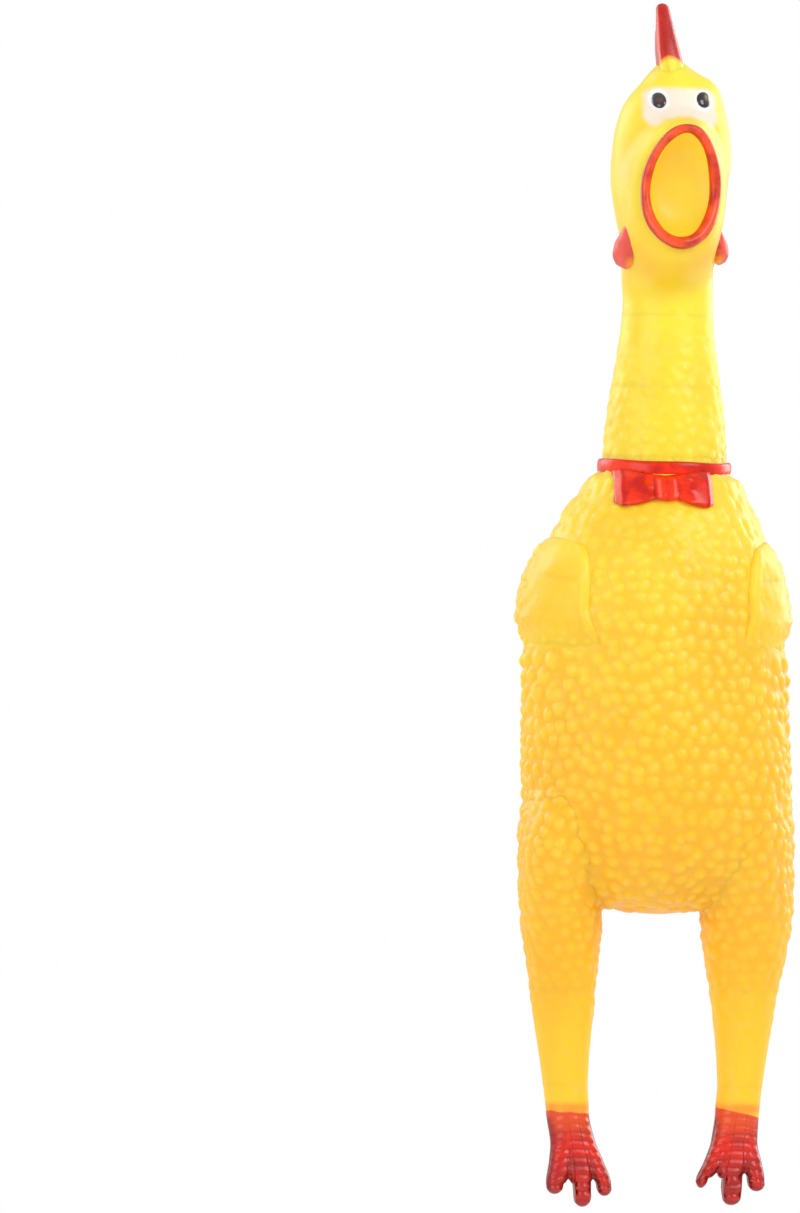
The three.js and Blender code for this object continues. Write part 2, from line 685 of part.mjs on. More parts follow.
/** A hollow leg length: an open rim below, and above it a ball end about its pivot with an airway. */
function legTube(side, pivot, bottom, steps) {
  const rings = (inset) => {
    const tube = Array.from({ length: steps + 1 }, (_, i) => {
      const z = THREE.MathUtils.lerp(bottom, pivot, i / steps);
      const at = legAt(side, z);
      return ring(z, at.halfWidth - inset, at.halfDepth - inset, at.x, 0, LEG_SIDES);
    });
    const at = legAt(side, pivot);
    const reach = at.halfDepth - inset;
    const ball = [...BALL_ANGLES].reverse().map((angle) => {
      const a = radians(angle);
      const across = (at.halfWidth - inset) * Math.sin(a);
      return ring(pivot + reach * Math.cos(a), across, reach * Math.sin(a), at.x, 0, LEG_SIDES);
    });
    return [...tube, ...ball];
  };
  return ringSolid([...rings(0), ...rings(WALL).reverse()], true);
}

/** A toe: a round bar from the palm that narrows to a blunt point. */
function toe(from, to) {
  const line = new THREE.Vector3().subVectors(to, from);
  const length = line.length();
  const stations = [[0, 0.8], [0.55, 1], [0.85, 0.82], [1, 0.35]];
  const rings = stations.map(([share, wide]) => {
    return ring(length * share, TOE_RADIUS * wide, TOE_RADIUS * wide, 0, 0, 10);
  });
  const turn = new THREE.Quaternion().setFromUnitVectors(new THREE.Vector3(0, 0, 1), line.normalize());
  return capped(rings).applyQuaternion(turn).translate(from.x, from.y, from.z);
}

/** A foot: the ball that turns in the shank's rim, a webbed palm, and three toes that point down. */
function buildFoot(name, side) {
  const ankle = [
    ring(ANKLE_Z - FOOT_LENGTH * 0.42, ANKLE_RADIUS * 0.95, PALM_THICKNESS / 2, side * FOOT_X, -1.6),
    ring(ANKLE_Z - FOOT_LENGTH * 0.2, ANKLE_RADIUS * 0.9, ANKLE_RADIUS * 0.75, side * (ANKLE_X - 0.8), -0.4),
    ring(ANKLE_Z, ANKLE_RADIUS, ANKLE_RADIUS, side * ANKLE_X, 0),
    ...[...BALL_ANGLES].reverse().map((angle) => {
      const a = radians(angle);
      const radius = ANKLE_RADIUS * Math.sin(a);
      return ring(ANKLE_Z + ANKLE_RADIUS * Math.cos(a), radius, radius, side * ANKLE_X, 0);
    }),
  ];
  const palmTop = ANKLE_Z - FOOT_LENGTH * 0.36;
  const palmLow = TOE_Z + FOOT_LENGTH * 0.27;
  const palm = [
    ring(palmLow, FOOT_SPREAD / 2, PALM_THICKNESS * 0.4, side * FOOT_X, -FOOT_FORWARD * 0.62, SMALL_SIDES),
    ring(palmTop, ANKLE_RADIUS * 0.9, PALM_THICKNESS * 0.52, side * FOOT_X, -1.2, SMALL_SIDES),
  ];
  let foot = solidOf(capped(ankle)).add(solidOf(capped(palm)));
  for (const [spread, drop] of [[-1, 4.2], [0, 0], [1, 4.2]]) {
    const from = new THREE.Vector3(side * FOOT_X + spread * FOOT_SPREAD * 0.26, -2, palmTop - 2);
    const to = new THREE.Vector3(side * FOOT_X + spread * FOOT_SPREAD * 0.5, -FOOT_FORWARD, TOE_Z + drop);
    foot = foot.add(solidOf(toe(from, to)));
  }
  piece(name, geometryOf(foot), DEEP_RED_PAINT);
}

function buildLegs() {
  const kneeRim = KNEE_Z + rimDrop(KNEE_RADIUS, KNEE_SWING);
  const ankleRim = ANKLE_Z + rimDrop(ANKLE_RADIUS, ANKLE_SWING);
  for (const [word, side] of [["left", 1], ["right", -1]]) {
    piece(`thigh_${word}`, legTube(side, HIP_Z, kneeRim, 5), YELLOW_VINYL);
    piece(`shank_${word}`, legTube(side, KNEE_Z, ankleRim, 3), YELLOW_VINYL);
    buildFoot(`foot_${word}`, side);
  }
}

// Squeaker, pushed up the neck into the throat.

function buildSqueaker() {
  const fit = SQUEAKER_BORE - GAP;
  const sides = 24;
  const barrel = ringSolid([
    ring(SQUEAKER_BOTTOM, SQUEAKER_RADIUS, SQUEAKER_RADIUS, 0, 0, sides),
    ring(SQUEAKER_TOP, SQUEAKER_RADIUS, SQUEAKER_RADIUS, 0, 0, sides),
    ring(SQUEAKER_TOP, SQUEAKER_BORE, SQUEAKER_BORE, 0, 0, sides),
    ring(SQUEAKER_BOTTOM, SQUEAKER_BORE, SQUEAKER_BORE, 0, 0, sides),
  ], true);
  piece("squeaker_barrel", barrel, WHITE_PLASTIC);

  const capBottom = SQUEAKER_TOP - SQUEAKER_CAP;
  let cap = solidOf(bar(fit, capBottom, SQUEAKER_TOP, 0, 0, sides));
  for (let i = 0; i < CAP_HOLES; i += 1) {
    const turn = (2 * Math.PI * i) / CAP_HOLES;
    const x = CAP_HOLE_CIRCLE * Math.cos(turn);
    const y = CAP_HOLE_CIRCLE * Math.sin(turn);
    cap = cap.subtract(solidOf(bar(CAP_HOLE_RADIUS, capBottom - 1, SQUEAKER_TOP + 1, x, y, 8)));
  }
  piece("squeaker_cap", geometryOf(cap), WHITE_PLASTIC);

  const baseTop = SQUEAKER_BOTTOM + CARRIER_BASE;
  const tongue = REED_LENGTH + GAP;
  const base = solidOf(bar(fit, SQUEAKER_BOTTOM, baseTop, 0, 0, sides));
  const post = solidOf(block(CARRIER_WIDTH, CARRIER_DEPTH, tongue + 1, 0, 0, baseTop + tongue / 2 - 0.5));
  const channelTop = baseTop + tongue - SQUEAKER_WALL;
  const channelHeight = channelTop - SQUEAKER_BOTTOM + 1;
  const channelDepth = CARRIER_DEPTH - SQUEAKER_WALL;
  const channelY = -CARRIER_DEPTH / 2 + channelDepth / 2 - 0.5;
  const channel = solidOf(block(
    CARRIER_CHANNEL, channelDepth + 1, channelHeight, 0, channelY, channelTop - channelHeight / 2,
  ));
  piece("reed_carrier", geometryOf(base.add(post).subtract(channel)), RED_PLASTIC);

  const reedBack = -CARRIER_DEPTH / 2 - REED_OPENING;
  const reedBottom = baseTop + GAP;
  const reed = block(
    REED_WIDTH, REED_THICKNESS, REED_LENGTH - GAP,
    0, reedBack - REED_THICKNESS / 2, reedBottom + (REED_LENGTH - GAP) / 2,
  );
  piece("reed", reed, REED_FILM);

  const clipY = reedBack - REED_THICKNESS - GAP - CLIP_THICKNESS / 2;
  const clip = block(CARRIER_WIDTH, CLIP_THICKNESS, CLIP_HEIGHT, 0, clipY, reedBottom + CLIP_HEIGHT / 2);
  piece("reed_clip", clip, RED_PLASTIC);
}

buildTorso();
buildWing("wing_left", 1, WING_FRONT_LEFT);
buildWing("wing_right", -1, WING_FRONT_RIGHT);
buildTail();
buildCollar();
buildNeck();
buildHead();
buildEyes();
buildWattles();
buildComb();
buildLegs();
buildSqueaker();

export default chicken;
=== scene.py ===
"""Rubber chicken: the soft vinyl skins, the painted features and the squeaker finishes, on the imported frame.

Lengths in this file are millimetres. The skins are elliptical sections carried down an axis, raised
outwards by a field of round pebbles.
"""

import json
import math

import bmesh
import bpy
import numpy as np
from mathutils import Matrix, Vector


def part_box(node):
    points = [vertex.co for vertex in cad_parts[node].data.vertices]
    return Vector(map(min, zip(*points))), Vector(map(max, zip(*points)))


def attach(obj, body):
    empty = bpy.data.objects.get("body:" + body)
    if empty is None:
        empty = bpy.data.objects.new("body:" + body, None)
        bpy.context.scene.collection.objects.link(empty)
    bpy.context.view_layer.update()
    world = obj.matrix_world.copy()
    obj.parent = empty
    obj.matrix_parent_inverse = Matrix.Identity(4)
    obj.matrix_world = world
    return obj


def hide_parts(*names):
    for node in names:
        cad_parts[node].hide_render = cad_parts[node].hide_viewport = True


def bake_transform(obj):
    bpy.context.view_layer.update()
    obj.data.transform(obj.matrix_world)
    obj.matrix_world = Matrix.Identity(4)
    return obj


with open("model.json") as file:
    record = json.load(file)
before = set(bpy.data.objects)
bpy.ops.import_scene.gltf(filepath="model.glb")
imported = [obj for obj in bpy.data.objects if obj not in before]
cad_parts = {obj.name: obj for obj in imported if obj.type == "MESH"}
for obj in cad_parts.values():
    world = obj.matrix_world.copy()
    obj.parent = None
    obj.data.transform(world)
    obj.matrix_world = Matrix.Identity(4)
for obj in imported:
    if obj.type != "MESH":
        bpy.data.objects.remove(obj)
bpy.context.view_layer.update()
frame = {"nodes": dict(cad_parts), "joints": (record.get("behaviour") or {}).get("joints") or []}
MM = 0.001


# ---- places read from the frame


def span(node):
    """Lowest and highest corner of a CAD node."""
    low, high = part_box(node)
    return np.array(low) / MM, np.array(high) / MM


def joint_place(name):
    """Where a hinge sits."""
    joint = next(j for j in frame["joints"] if j["name"] == name)
    return np.array(joint["pos_m"]) / MM


TORSO_LOW, TORSO_HIGH = span("torso_shell")
COLLAR_LOW, COLLAR_HIGH = span("collar_band")
LIP_LOW, LIP_HIGH = span("beak_rim")
LINING_LOW, LINING_HIGH = span("mouth_lining")
EYE_LOW, EYE_HIGH = span("eye_left")
WATTLE_LOW, WATTLE_HIGH = span("wattle_left")
TAIL_LOW, TAIL_HIGH = span("tail")
WING_TOP = span("wing_left")[1][2]
NOD, SWAY, TURN = (joint_place(name)[2] for name in ("neck_nod", "neck_sway", "head_turn"))
HIP, KNEE, ANKLE = (joint_place(f"{name}_left") for name in ("hip", "knee", "ankle"))

# ---- driving sizes

NECK_FOOT = TORSO_HIGH[2]
NECK_TOP = TURN - 0.2
CROWN = span("head_shell")[1][2]
WIDEST = -20.0
NECK_FOOT_RADIUS = 18.0
NECK_TOP_RADIUS = 13.3
HALF_WIDTH = TORSO_HIGH[0] - 0.2
HALF_DEPTH = 31.8
BREAST = 2.5
HEAD_HALF_WIDTH = span("head_shell")[1][0]
HEAD_HALF_DEPTH = 18.2
FACE_FORWARD = 1.8

PEBBLE_SPACING = 4.5
PEBBLE_RADIUS = 2.3
PEBBLE_RISE = 0.78
FILLET = 6.0

NECK_COLUMNS = 208
NECK_ROWS = 56
TORSO_COLUMNS = 328
LEG_COLUMNS = 196
WELD = 2e-7
SIDE_NAME = {1: "left", -1: "right"}
SEAM_NECK = (NOD + SWAY) / 2 + 0.25
SEAM_HEAD = TURN - 5.9
SEAM_KNEE = KNEE[2] + 8.0
SEAM_ANKLE = ANKLE[2] + 6.0


# ---- shape helpers


def ease(x):
    """A rise from 0 to 1 with level ends: 3x^2 - 2x^3."""
    x = np.clip(x, 0, 1)
    return x * x * (3 - 2 * x)


def bell(x, middle, width):
    """A bell curve, 1 at its middle: e to the minus ((x - middle) / width)^2."""
    return np.exp(-((x - middle) / width) ** 2)


def filled(wave, power):
    """A wave with its corners filled out: its sign times its size to a power below 1."""
    return np.sign(wave) * np.abs(wave) ** power


def turns(count):
    """Evenly spaced angles round a full turn."""
    return np.linspace(0, 2 * math.pi, count, endpoint=False)


def grid(down, along):
    """Two arrays of one shape: the first goes down the rows, the second along them."""
    return np.meshgrid(down, along, indexing="ij")


def through(rows, at, column=1):
    """A smooth curve through rows of (place, value, ...), places rising, for one of the values. Between
    two rows it is a cubic whose slope at each row is the harmonic mean of the chords beside it, so it
    never overshoots."""
    table = np.array(rows, float).T
    place, value = table[0], table[column]
    step = np.diff(place)
    chord = np.diff(value) / step
    slope = np.zeros_like(value)
    product = chord[:-1] * chord[1:]
    total = np.where(product > 0, chord[:-1] + chord[1:], 1)
    slope[1:-1] = np.where(product > 0, 2 * product / total, 0)
    slope[0], slope[-1] = chord[0], chord[-1]
    at = np.clip(at, place[0], place[-1])
    i = np.clip(np.searchsorted(place, at) - 1, 0, len(step) - 1)
    t = (at - place[i]) / step[i]
    from_values = value[i] * (1 + 2 * t) * (1 - t) ** 2 + value[i + 1] * t * t * (3 - 2 * t)
    return from_values + step[i] * (slope[i] * t * (1 - t) ** 2 + slope[i + 1] * t * t * (t - 1))


def even_heights(top, bottom, section, count):
    """Heights from top to bottom that lie evenly along the section's front outline."""
    turn = np.linspace(0, math.pi, 1500)
    z = bottom + (top - bottom) * (1 + np.cos(turn)) / 2
    outline = section(z)[1]
    along = np.concatenate([[0], np.cumsum(np.hypot(np.diff(z), np.diff(outline)))])
    return np.interp(np.linspace(0, along[-1], count), along, z)


def ring(section, z, angle):
    """Points of elliptical sections. Angle 0 faces forwards (-Y) and a quarter turn faces +X."""
    across, deep, x, y = section(z)
    return np.stack([x + across * np.sin(angle), y - deep * np.cos(angle), z + 0 * angle], -1)


def outward(points, closed=True):
    """Unit normals of a grid of points: the cross product of its two directions."""
    down = np.gradient(points, axis=0)
    if closed:
        along = np.roll(points, -1, 1) - np.roll(points, 1, 1)
    else:
        along = np.gradient(points, axis=1)
    normal = np.cross(along, -down)
    size = np.linalg.norm(normal, axis=-1, keepdims=True)
    return normal / np.maximum(size, 1e-9)


def chance(*index):
    """Repeatable numbers between 0 and 1: the fraction of a large sine."""
    seed = sum(np.asarray(i) * w for i, w in zip(index, (12.9898, 78.233, 37.719)))
    return np.modf(np.abs(np.sin(seed) * 43758.5453))[0]


# ---- mesh making


def grid_mesh(name, points, closed=True, pole=False, material=None, marks=None, normals=None):
    """A mesh of quads on a grid of points: each row joins to the next, and closed joins the last column
    to the first. A pole turns the last row into one point. Marks are values kept at each point."""
    rows, columns = points.shape[:2]
    index = np.arange(rows * columns).reshape(rows, columns)
    right = np.roll(index, -1, 1) if closed else index[:, 1:]
    left = index if closed else index[:, :-1]
    quads = np.stack([left[:-1], left[1:], right[1:], right[:-1]], -1).reshape(-1, 4)
    mesh = bpy.data.meshes.new(name)
    mesh.vertices.add(rows * columns)
    mesh.vertices.foreach_set("co", (points * MM).astype(np.float32).ravel())
    mesh.loops.add(quads.size)
    mesh.loops.foreach_set("vertex_index", quads.astype(np.int32).ravel())
    mesh.polygons.add(len(quads))
    mesh.polygons.foreach_set("loop_start", np.arange(0, quads.size, 4, dtype=np.int32))
    mesh.update(calc_edges=True)
    for mark, value in (marks or {}).items():
        layer = mesh.attributes.new(mark, "FLOAT", "POINT")
        layer.data.foreach_set("value", np.broadcast_to(value, (rows, columns)).astype(np.float32).ravel())
    place = mesh.attributes.new("place", "FLOAT_VECTOR", "POINT")
    place.data.foreach_set("vector", (points * MM).astype(np.float32).ravel())
    if pole:
        work = bmesh.new()
        work.from_mesh(mesh)
        bmesh.ops.remove_doubles(work, verts=work.verts, dist=WELD)
        work.to_mesh(mesh)
        work.free()
    mesh.shade_smooth()
    if normals is not None:
        mesh.normals_split_custom_set_from_vertices(normals.reshape(-1, 3).tolist())
    piece = bpy.data.objects.new(name, mesh)
    bpy.context.scene.collection.objects.link(piece)
    if material:
        mesh.materials.append(material)
    return piece


def join(name, pieces):
    """One object from several, in the order given."""
    work = bmesh.new()
    materials = []
    for piece in pieces:
        for material in piece.data.materials:
            if material not in materials:
                materials.append(material)
    mesh = bpy.data.meshes.new(name)
    for piece in pieces:
        slot = materials.index(piece.data.materials[0])
        piece.data.polygons.foreach_set("material_index", np.full(len(piece.data.polygons), slot, np.int32))
        work.from_mesh(piece.data)
        bpy.data.objects.remove(piece)
    work.to_mesh(mesh)
    work.free()
    mesh.shade_smooth()
    for material in materials:
        mesh.materials.append(material)
    whole = bpy.data.objects.new(name, mesh)
    bpy.context.scene.collection.objects.link(whole)
    return whole


def mend(piece, change):
    """Opens a piece's mesh, makes one change to it and puts it back."""
    work = bmesh.new()
    work.from_mesh(piece.data)
    change(work)
    work.to_mesh(piece.data)
    work.free()
    piece.data.shade_smooth()


def open_edges(work):
    """The edges that have a face on one side only."""
    return [edge for edge in work.edges if edge.is_boundary]


def weld(piece):
    """Joins the points of a piece that lie together, and points its faces outwards."""
    def change(work):
        bmesh.ops.remove_doubles(work, verts=work.verts, dist=WELD)
        bmesh.ops.recalc_face_normals(work, faces=work.faces)
    mend(piece, change)


def bridge(piece):
    """Joins the last row of a tube to its first."""
    def change(work):
        bmesh.ops.bridge_loops(work, edges=open_edges(work))
        bmesh.ops.recalc_face_normals(work, faces=work.faces)
    mend(piece, change)


def seal(piece):
    """Fills the open ends of a tube."""
    def change(work):
        bmesh.ops.holes_fill(work, edges=open_edges(work))
        bmesh.ops.recalc_face_normals(work, faces=work.faces)
    mend(piece, change)


def turn_towards(piece, way):
    """Turns an open piece over if its faces, weighed by their areas, point away from a direction."""
    faces = piece.data.polygons
    normals, areas = np.empty(3 * len(faces)), np.empty(len(faces))
    faces.foreach_get("normal", normals)
    faces.foreach_get("area", areas)
    if areas @ (normals.reshape(-1, 3) @ way) < 0:
        mend(piece, lambda work: bmesh.ops.reverse_faces(work, faces=work.faces))


# ---- the pebbles of the skin


def sow(top, bottom, section, spacing, salt):
    """Pebble centres on a skin: rows one spacing apart, staggered and a little uneven."""
    count = max(2, int(round(skin_length(top, bottom, section) / (spacing * 0.87))))
    heights = even_heights(top, bottom, section, count)
    round_angle = np.linspace(0, 2 * math.pi, 721)
    centres = []
    for row, z in enumerate(heights):
        loop = ring(section, np.full(721, z), round_angle)
        along = np.concatenate([[0], np.cumsum(np.linalg.norm(np.diff(loop, axis=0), axis=1))])
        number = max(3, int(round(along[-1] / spacing)))
        which = np.arange(number)
        jitter = (chance(row, which, salt) - 0.5) * 0.6
        place = (which + 0.5 * (row % 2) + 0.25 + jitter) / number * along[-1]
        angle = np.interp(place % along[-1], along, round_angle)
        level = z + (chance(which, row, salt + 5) - 0.5) * 0.62 * spacing
        level = np.clip(level, bottom, top)
        centres.append(ring(section, level, angle))
    return np.concatenate(centres)


def skin_length(top, bottom, section):
    """Length of the front outline between two heights."""
    z = np.linspace(top, bottom, 800)
    outline = section(z)[1]
    return np.hypot(np.diff(z), np.diff(outline)).sum()


def pebbles(points, centres, radius=PEBBLE_RADIUS):
    """How high a pebble stands at each point, from 0 to 1: (1 - (distance / radius)^2)^1.5 from the
    nearest centre. Radii and heights differ a little from pebble to pebble."""
    flat = points.reshape(-1, 3)
    height = np.zeros(len(flat))
    order = np.argsort(flat[:, 2], kind="stable")
    which = np.arange(len(centres))
    radii = radius * (0.84 + 0.3 * chance(which, 3))
    rises = 0.75 + 0.5 * chance(which, 8)
    for part in np.array_split(order, max(1, len(order) // 2000)):
        z = flat[part, 2]
        near = (centres[:, 2] > z.min() - 1.3 * radius) & (centres[:, 2] < z.max() + 1.3 * radius)
        if near.any():
            gap = np.linalg.norm(flat[part, None] - centres[None, near], axis=-1) / radii[near]
            height[part] = (np.clip(1 - gap * gap, 0, 1) ** 1.5 * rises[near]).max(1)
    return height.reshape(points.shape[:-1])


# ---- sections of the body


# shoulders: share of the drop from neck to widest place, then the shares of the growth in width and depth
SHOULDERS = ((0, 0, 0), (0.04, 0.05, 0.06), (0.067, 0.19, 0.18), (0.133, 0.32, 0.42), (0.2, 0.49, 0.63),
             (0.26, 0.63, 0.78), (0.32, 0.77, 0.88), (0.4, 0.86, 0.96), (0.52, 0.93, 1.0),
             (0.76, 0.97, 1.01), (1, 1, 1))
SLOUCH = ((-62, 0), (-42, 0), (-18, -1.0), (8, -2.0), (28, -2.7), (46, -1.9), (52, -1.4),
          (58, -0.6), (64, -0.1), (72, 0))
UNDERSIDE_ROUND = 0.77


def trunk(z):
    """Torso and neck: half width, half depth and centre at each height. The neck swells towards its foot
    on half a cosine wave, the shoulders follow their rows, and the underside is a squared ellipse."""
    z = np.asarray(z, float)
    up = np.clip((z - NECK_FOOT) / (NECK_TOP - NECK_FOOT), 0, 1)
    neck = NECK_TOP_RADIUS + (NECK_FOOT_RADIUS - NECK_TOP_RADIUS) * (1 + np.cos(math.pi * up)) / 2
    drop = np.clip((NECK_FOOT - z) / (NECK_FOOT - WIDEST), 0, 1)
    across = neck + (HALF_WIDTH - NECK_FOOT_RADIUS) * through(SHOULDERS, drop)
    deep = neck + (HALF_DEPTH - NECK_FOOT_RADIUS) * through(SHOULDERS, drop, 2)
    low = np.clip((WIDEST - z) / (WIDEST - TORSO_LOW[2]), 0, 1)
    shrink = np.sqrt(np.clip(1 - low ** (2 / UNDERSIDE_ROUND), 0, 1))
    share = np.clip((z - TORSO_LOW[2]) / (NECK_FOOT - TORSO_LOW[2]), 0, 1)
    return across * shrink, deep * shrink, through(SLOUCH, z), -BREAST * 4 * share * (1 - share)


# head: share of its height, then the shares of its half width, half depth and forward shift
HEAD = ((0, 0, 0, 0), (0.1, 0, 0.06, 0.2), (0.2, 0.04, 0.37, 0.7), (0.32, 0.4, 0.76, 1),
        (0.44, 0.76, 0.96, 1), (0.52, 0.95, 0.99, 0.95), (0.58, 1, 1, 0.9), (0.68, 0.98, 0.98, 0.5),
        (0.79, 0.9, 0.9, 0.1), (0.88, 0.77, 0.77, -0.2), (0.95, 0.57, 0.58, -0.4),
        (0.985, 0.34, 0.36, -0.5), (1, 0, 0, -0.5))
HEAD_LEAN = ((112, 0), (136, -0.8), (146, -0.9), (153, -0.5), (160, -0.1), (169, 0.2), (174, 0.7),
             (179, 1.7),
             (183.5, 0.9))


def skull(z):
    """The head: half width, half depth and centre at each height, by its rows. It starts as the neck."""
    z = np.asarray(z, float)
    share = np.clip((z - NECK_TOP - 0.4) / (CROWN - NECK_TOP - 0.4), 0, 1)
    base = trunk(np.minimum(z, NECK_TOP))[0]
    wide = through(HEAD, share)
    deep = through(HEAD, share, 2)
    upper = share > 0.58
    across = np.where(upper, HEAD_HALF_WIDTH * wide, base + (HEAD_HALF_WIDTH - base) * wide)
    depth = np.where(upper, HEAD_HALF_DEPTH * deep, base + (HEAD_HALF_DEPTH - base) * deep)
    tip = np.sqrt(np.clip((1 - share) / 0.015, 0, 1))
    across = np.where(share > 0.985, HEAD_HALF_WIDTH * 0.34 * tip, across)
    depth = np.where(share > 0.985, HEAD_HALF_DEPTH * 0.36 * tip, depth)
    return across, depth, through(HEAD_LEAN, z), -FACE_FORWARD * through(HEAD, share, 3)


THIGH_TOP = -24.0
THIGH_WIDE = {-1: ((-92, 8.8), (-84, 9.7), (-75.7, 10.7), (-64, 12.0), (-52, 12.5), (-44, 12.6), (-36, 11.6),
                   (-29, 8.0), (-24, 0.2)),
              1: ((-92, 8.9), (-84, 10.2), (-75.7, 11.7), (-64, 13.5), (-52, 13.6), (-44, 13.2), (-36, 12.0),
                  (-29, 8.0), (-24, 0.2))}
LEG_LEAN = {-1: ((-118, 0), (-20, 0)), 1: ((-118, 1.3), (-104, 0.9), (-90, 0.4), (-70, 0), (-20, 0))}
THIGH_FRONT = ((-92, 8.8), (-84, 10.2), (-75, 12.0), (-66, 14.6), (-58, 18.4), (-50, 22.2), (-42, 24.6),
               (-34, 24.6), (-28, 17.0), (-24, 0.3))
THIGH_BACK = ((-92, 8.8), (-84, 10.0), (-72, 12.2), (-60, 14.0), (-46, 15.5), (-34, 14.0),
              (-28, 10.0), (-24, 0.3))
THIGH_DRIFT = 0.2


def leg_axis(z, side):
    """The leg's middle line: straight from hip to knee to ankle, and one leg leans out a little."""
    line = through(((ANKLE[2], ANKLE[0]), (KNEE[2], KNEE[0]), (HIP[2], HIP[0]), (-20, HIP[0] - 0.6)), z)
    return side * line + through(LEG_LEAN[side], z)


def thigh_points(z, angle, side):
    """The thigh: an ellipse whose front half is deeper than its back half, since the drumstick swells
    forwards out of the belly, with its front drifting to the right of the figure."""
    front = np.cos(angle) > 0
    deep = np.where(front, through(THIGH_FRONT, z), through(THIGH_BACK, z))
    y = -deep * np.cos(angle)
    drift = THIGH_DRIFT * np.minimum(y, 0) * ease((z + 84) / 30)
    width = through(THIGH_WIDE[side], z) - 0.25
    return np.stack([leg_axis(z, side) + width * np.sin(angle) + drift, y, z + 0 * angle], -1)


def shank(z):
    """Below the knee the leg is round and narrows evenly to the ankle."""
    return through(((-125, 6.1), (ANKLE[2], 6.2), (-105, 7.2), (KNEE[2], 8.8), (-84, 9.9)), z)


def off_trunk(points):
    """About how far points lie outside the torso: the ellipse's share past one, times its smaller half."""
    across, deep, x, y = trunk(points[..., 2])
    across, deep = np.maximum(across, 0.5), np.maximum(deep, 0.5)
    share = np.hypot((points[..., 0] - x) / across, (points[..., 1] - y) / deep)
    return (share - 1) * np.minimum(across, deep)


def off_thigh(points, side):
    """About how far points lie outside a thigh, in the same way."""
    z = points[..., 2]
    y = points[..., 1]
    deep = np.where(y < 0, through(THIGH_FRONT, z), through(THIGH_BACK, z))
    drift = THIGH_DRIFT * np.minimum(y, 0) * ease((z + 84) / 30)
    width = through(THIGH_WIDE[side], z)
    share = np.hypot((points[..., 0] - leg_axis(z, side) - drift) / width, y / np.maximum(deep, 0.5))
    return (share - 1) * np.minimum(width, deep)


def fillet(gap):
    """How far both skins swell where they meet, so that the crease between them is rounded."""
    near = np.clip(1 - np.abs(gap) / FILLET, 0, 1)
    return near * near * FILLET / 4


# ---- paint and plastic


def nodes_of(name):
    """A new material, its node tree and its main shader."""
    material = bpy.data.materials.new(name)
    material.use_nodes = True
    tree = material.node_tree
    shader = tree.nodes["Principled BSDF"]
    return material, tree, shader


def mixed(tree, amount, first, second):
    """A colour between two, each a colour or an output, by an amount that is an output or a number."""
    mix = tree.nodes.new("ShaderNodeMix")
    mix.data_type = "RGBA"
    for socket, value in (("Factor", amount), ("A", first), ("B", second)):
        wanted = "VALUE" if socket == "Factor" else "RGBA"
        target = next(s for s in mix.inputs if s.name == socket and s.type == wanted)
        if isinstance(value, bpy.types.NodeSocket):
            tree.links.new(value, target)
        else:
            target.default_value = value if socket == "Factor" else (*value, 1)
    return next(s for s in mix.outputs if s.type == "RGBA")


def mark(tree, name):
    """A value kept at the points of a mesh. It is 0 where the mesh has none."""
    node = tree.nodes.new("ShaderNodeAttribute")
    node.attribute_name = name
    return node.outputs["Fac"]


def where(tree):
    """The place of each point at rest, so that a pattern stays on the skin as it bends."""
    node = tree.nodes.new("ShaderNodeAttribute")
    node.attribute_name = "place"
    return node.outputs["Vector"]


def own_place(tree):
    """Object coordinates, for a rigid CAD node."""
    return tree.nodes.new("ShaderNodeTexCoord").outputs["Object"]


def noise(tree, vector, scale, detail=2.0, rough=0.5):
    """A cloud pattern, scale being its number of waves in a metre."""
    node = tree.nodes.new("ShaderNodeTexNoise")
    node.inputs["Scale"].default_value = scale
    node.inputs["Detail"].default_value = detail
    node.inputs["Roughness"].default_value = rough
    tree.links.new(vector, node.inputs["Vector"])
    return node.outputs["Fac"]


def ranged(tree, value, low, high, to_low=0.0, to_high=1.0):
    """A value carried from one range to another, held at its ends."""
    node = tree.nodes.new("ShaderNodeMapRange")
    node.interpolation_type = "SMOOTHSTEP"
    for socket, amount in zip(("From Min", "From Max", "To Min", "To Max"), (low, high, to_low, to_high)):
        node.inputs[socket].default_value = amount
    tree.links.new(value, node.inputs["Value"])
    return node.outputs["Result"]


def sums(tree, operation, first, second):
    """Two values, outputs or numbers, put together by an arithmetic operation."""
    node = tree.nodes.new("ShaderNodeMath")
    node.operation = operation
    for socket, value in zip(node.inputs, (first, second)):
        if isinstance(value, bpy.types.NodeSocket):
            tree.links.new(value, socket)
        else:
            socket.default_value = value
    return node.outputs[0]


def grain(tree, shader, height, strength, distance):
    """A fine relief from a height value."""
    node = tree.nodes.new("ShaderNodeBump")
    node.inputs["Strength"].default_value = strength
    node.inputs["Distance"].default_value = distance
    tree.links.new(height, node.inputs["Height"])
    tree.links.new(node.outputs["Normal"], shader.inputs["Normal"])


def uneven_gloss(tree, shader, vector, scale, low, high):
    """A roughness that wanders between two values."""
    rough = ranged(tree, noise(tree, vector, scale, 2), 0.3, 0.7, low, high)
    tree.links.new(rough, shader.inputs["Roughness"])


def inner_light(shader, weight, radius, scale):
    """Light that enters the surface and comes out beside where it went in."""
    shader.inputs["Subsurface Weight"].default_value = weight
    shader.inputs["Subsurface Radius"].default_value = radius
    shader.inputs["Subsurface Scale"].default_value = scale


def tint(red, green, blue):
    """A colour given in screen values 0 to 255, as the linear light that a shader takes."""
    screen = np.array([red, green, blue]) / 255
    light = np.where(screen <= 10 / 255, screen / 12.92, ((screen + 0.055) / 1.055) ** 2.4)
    return tuple(light.tolist())
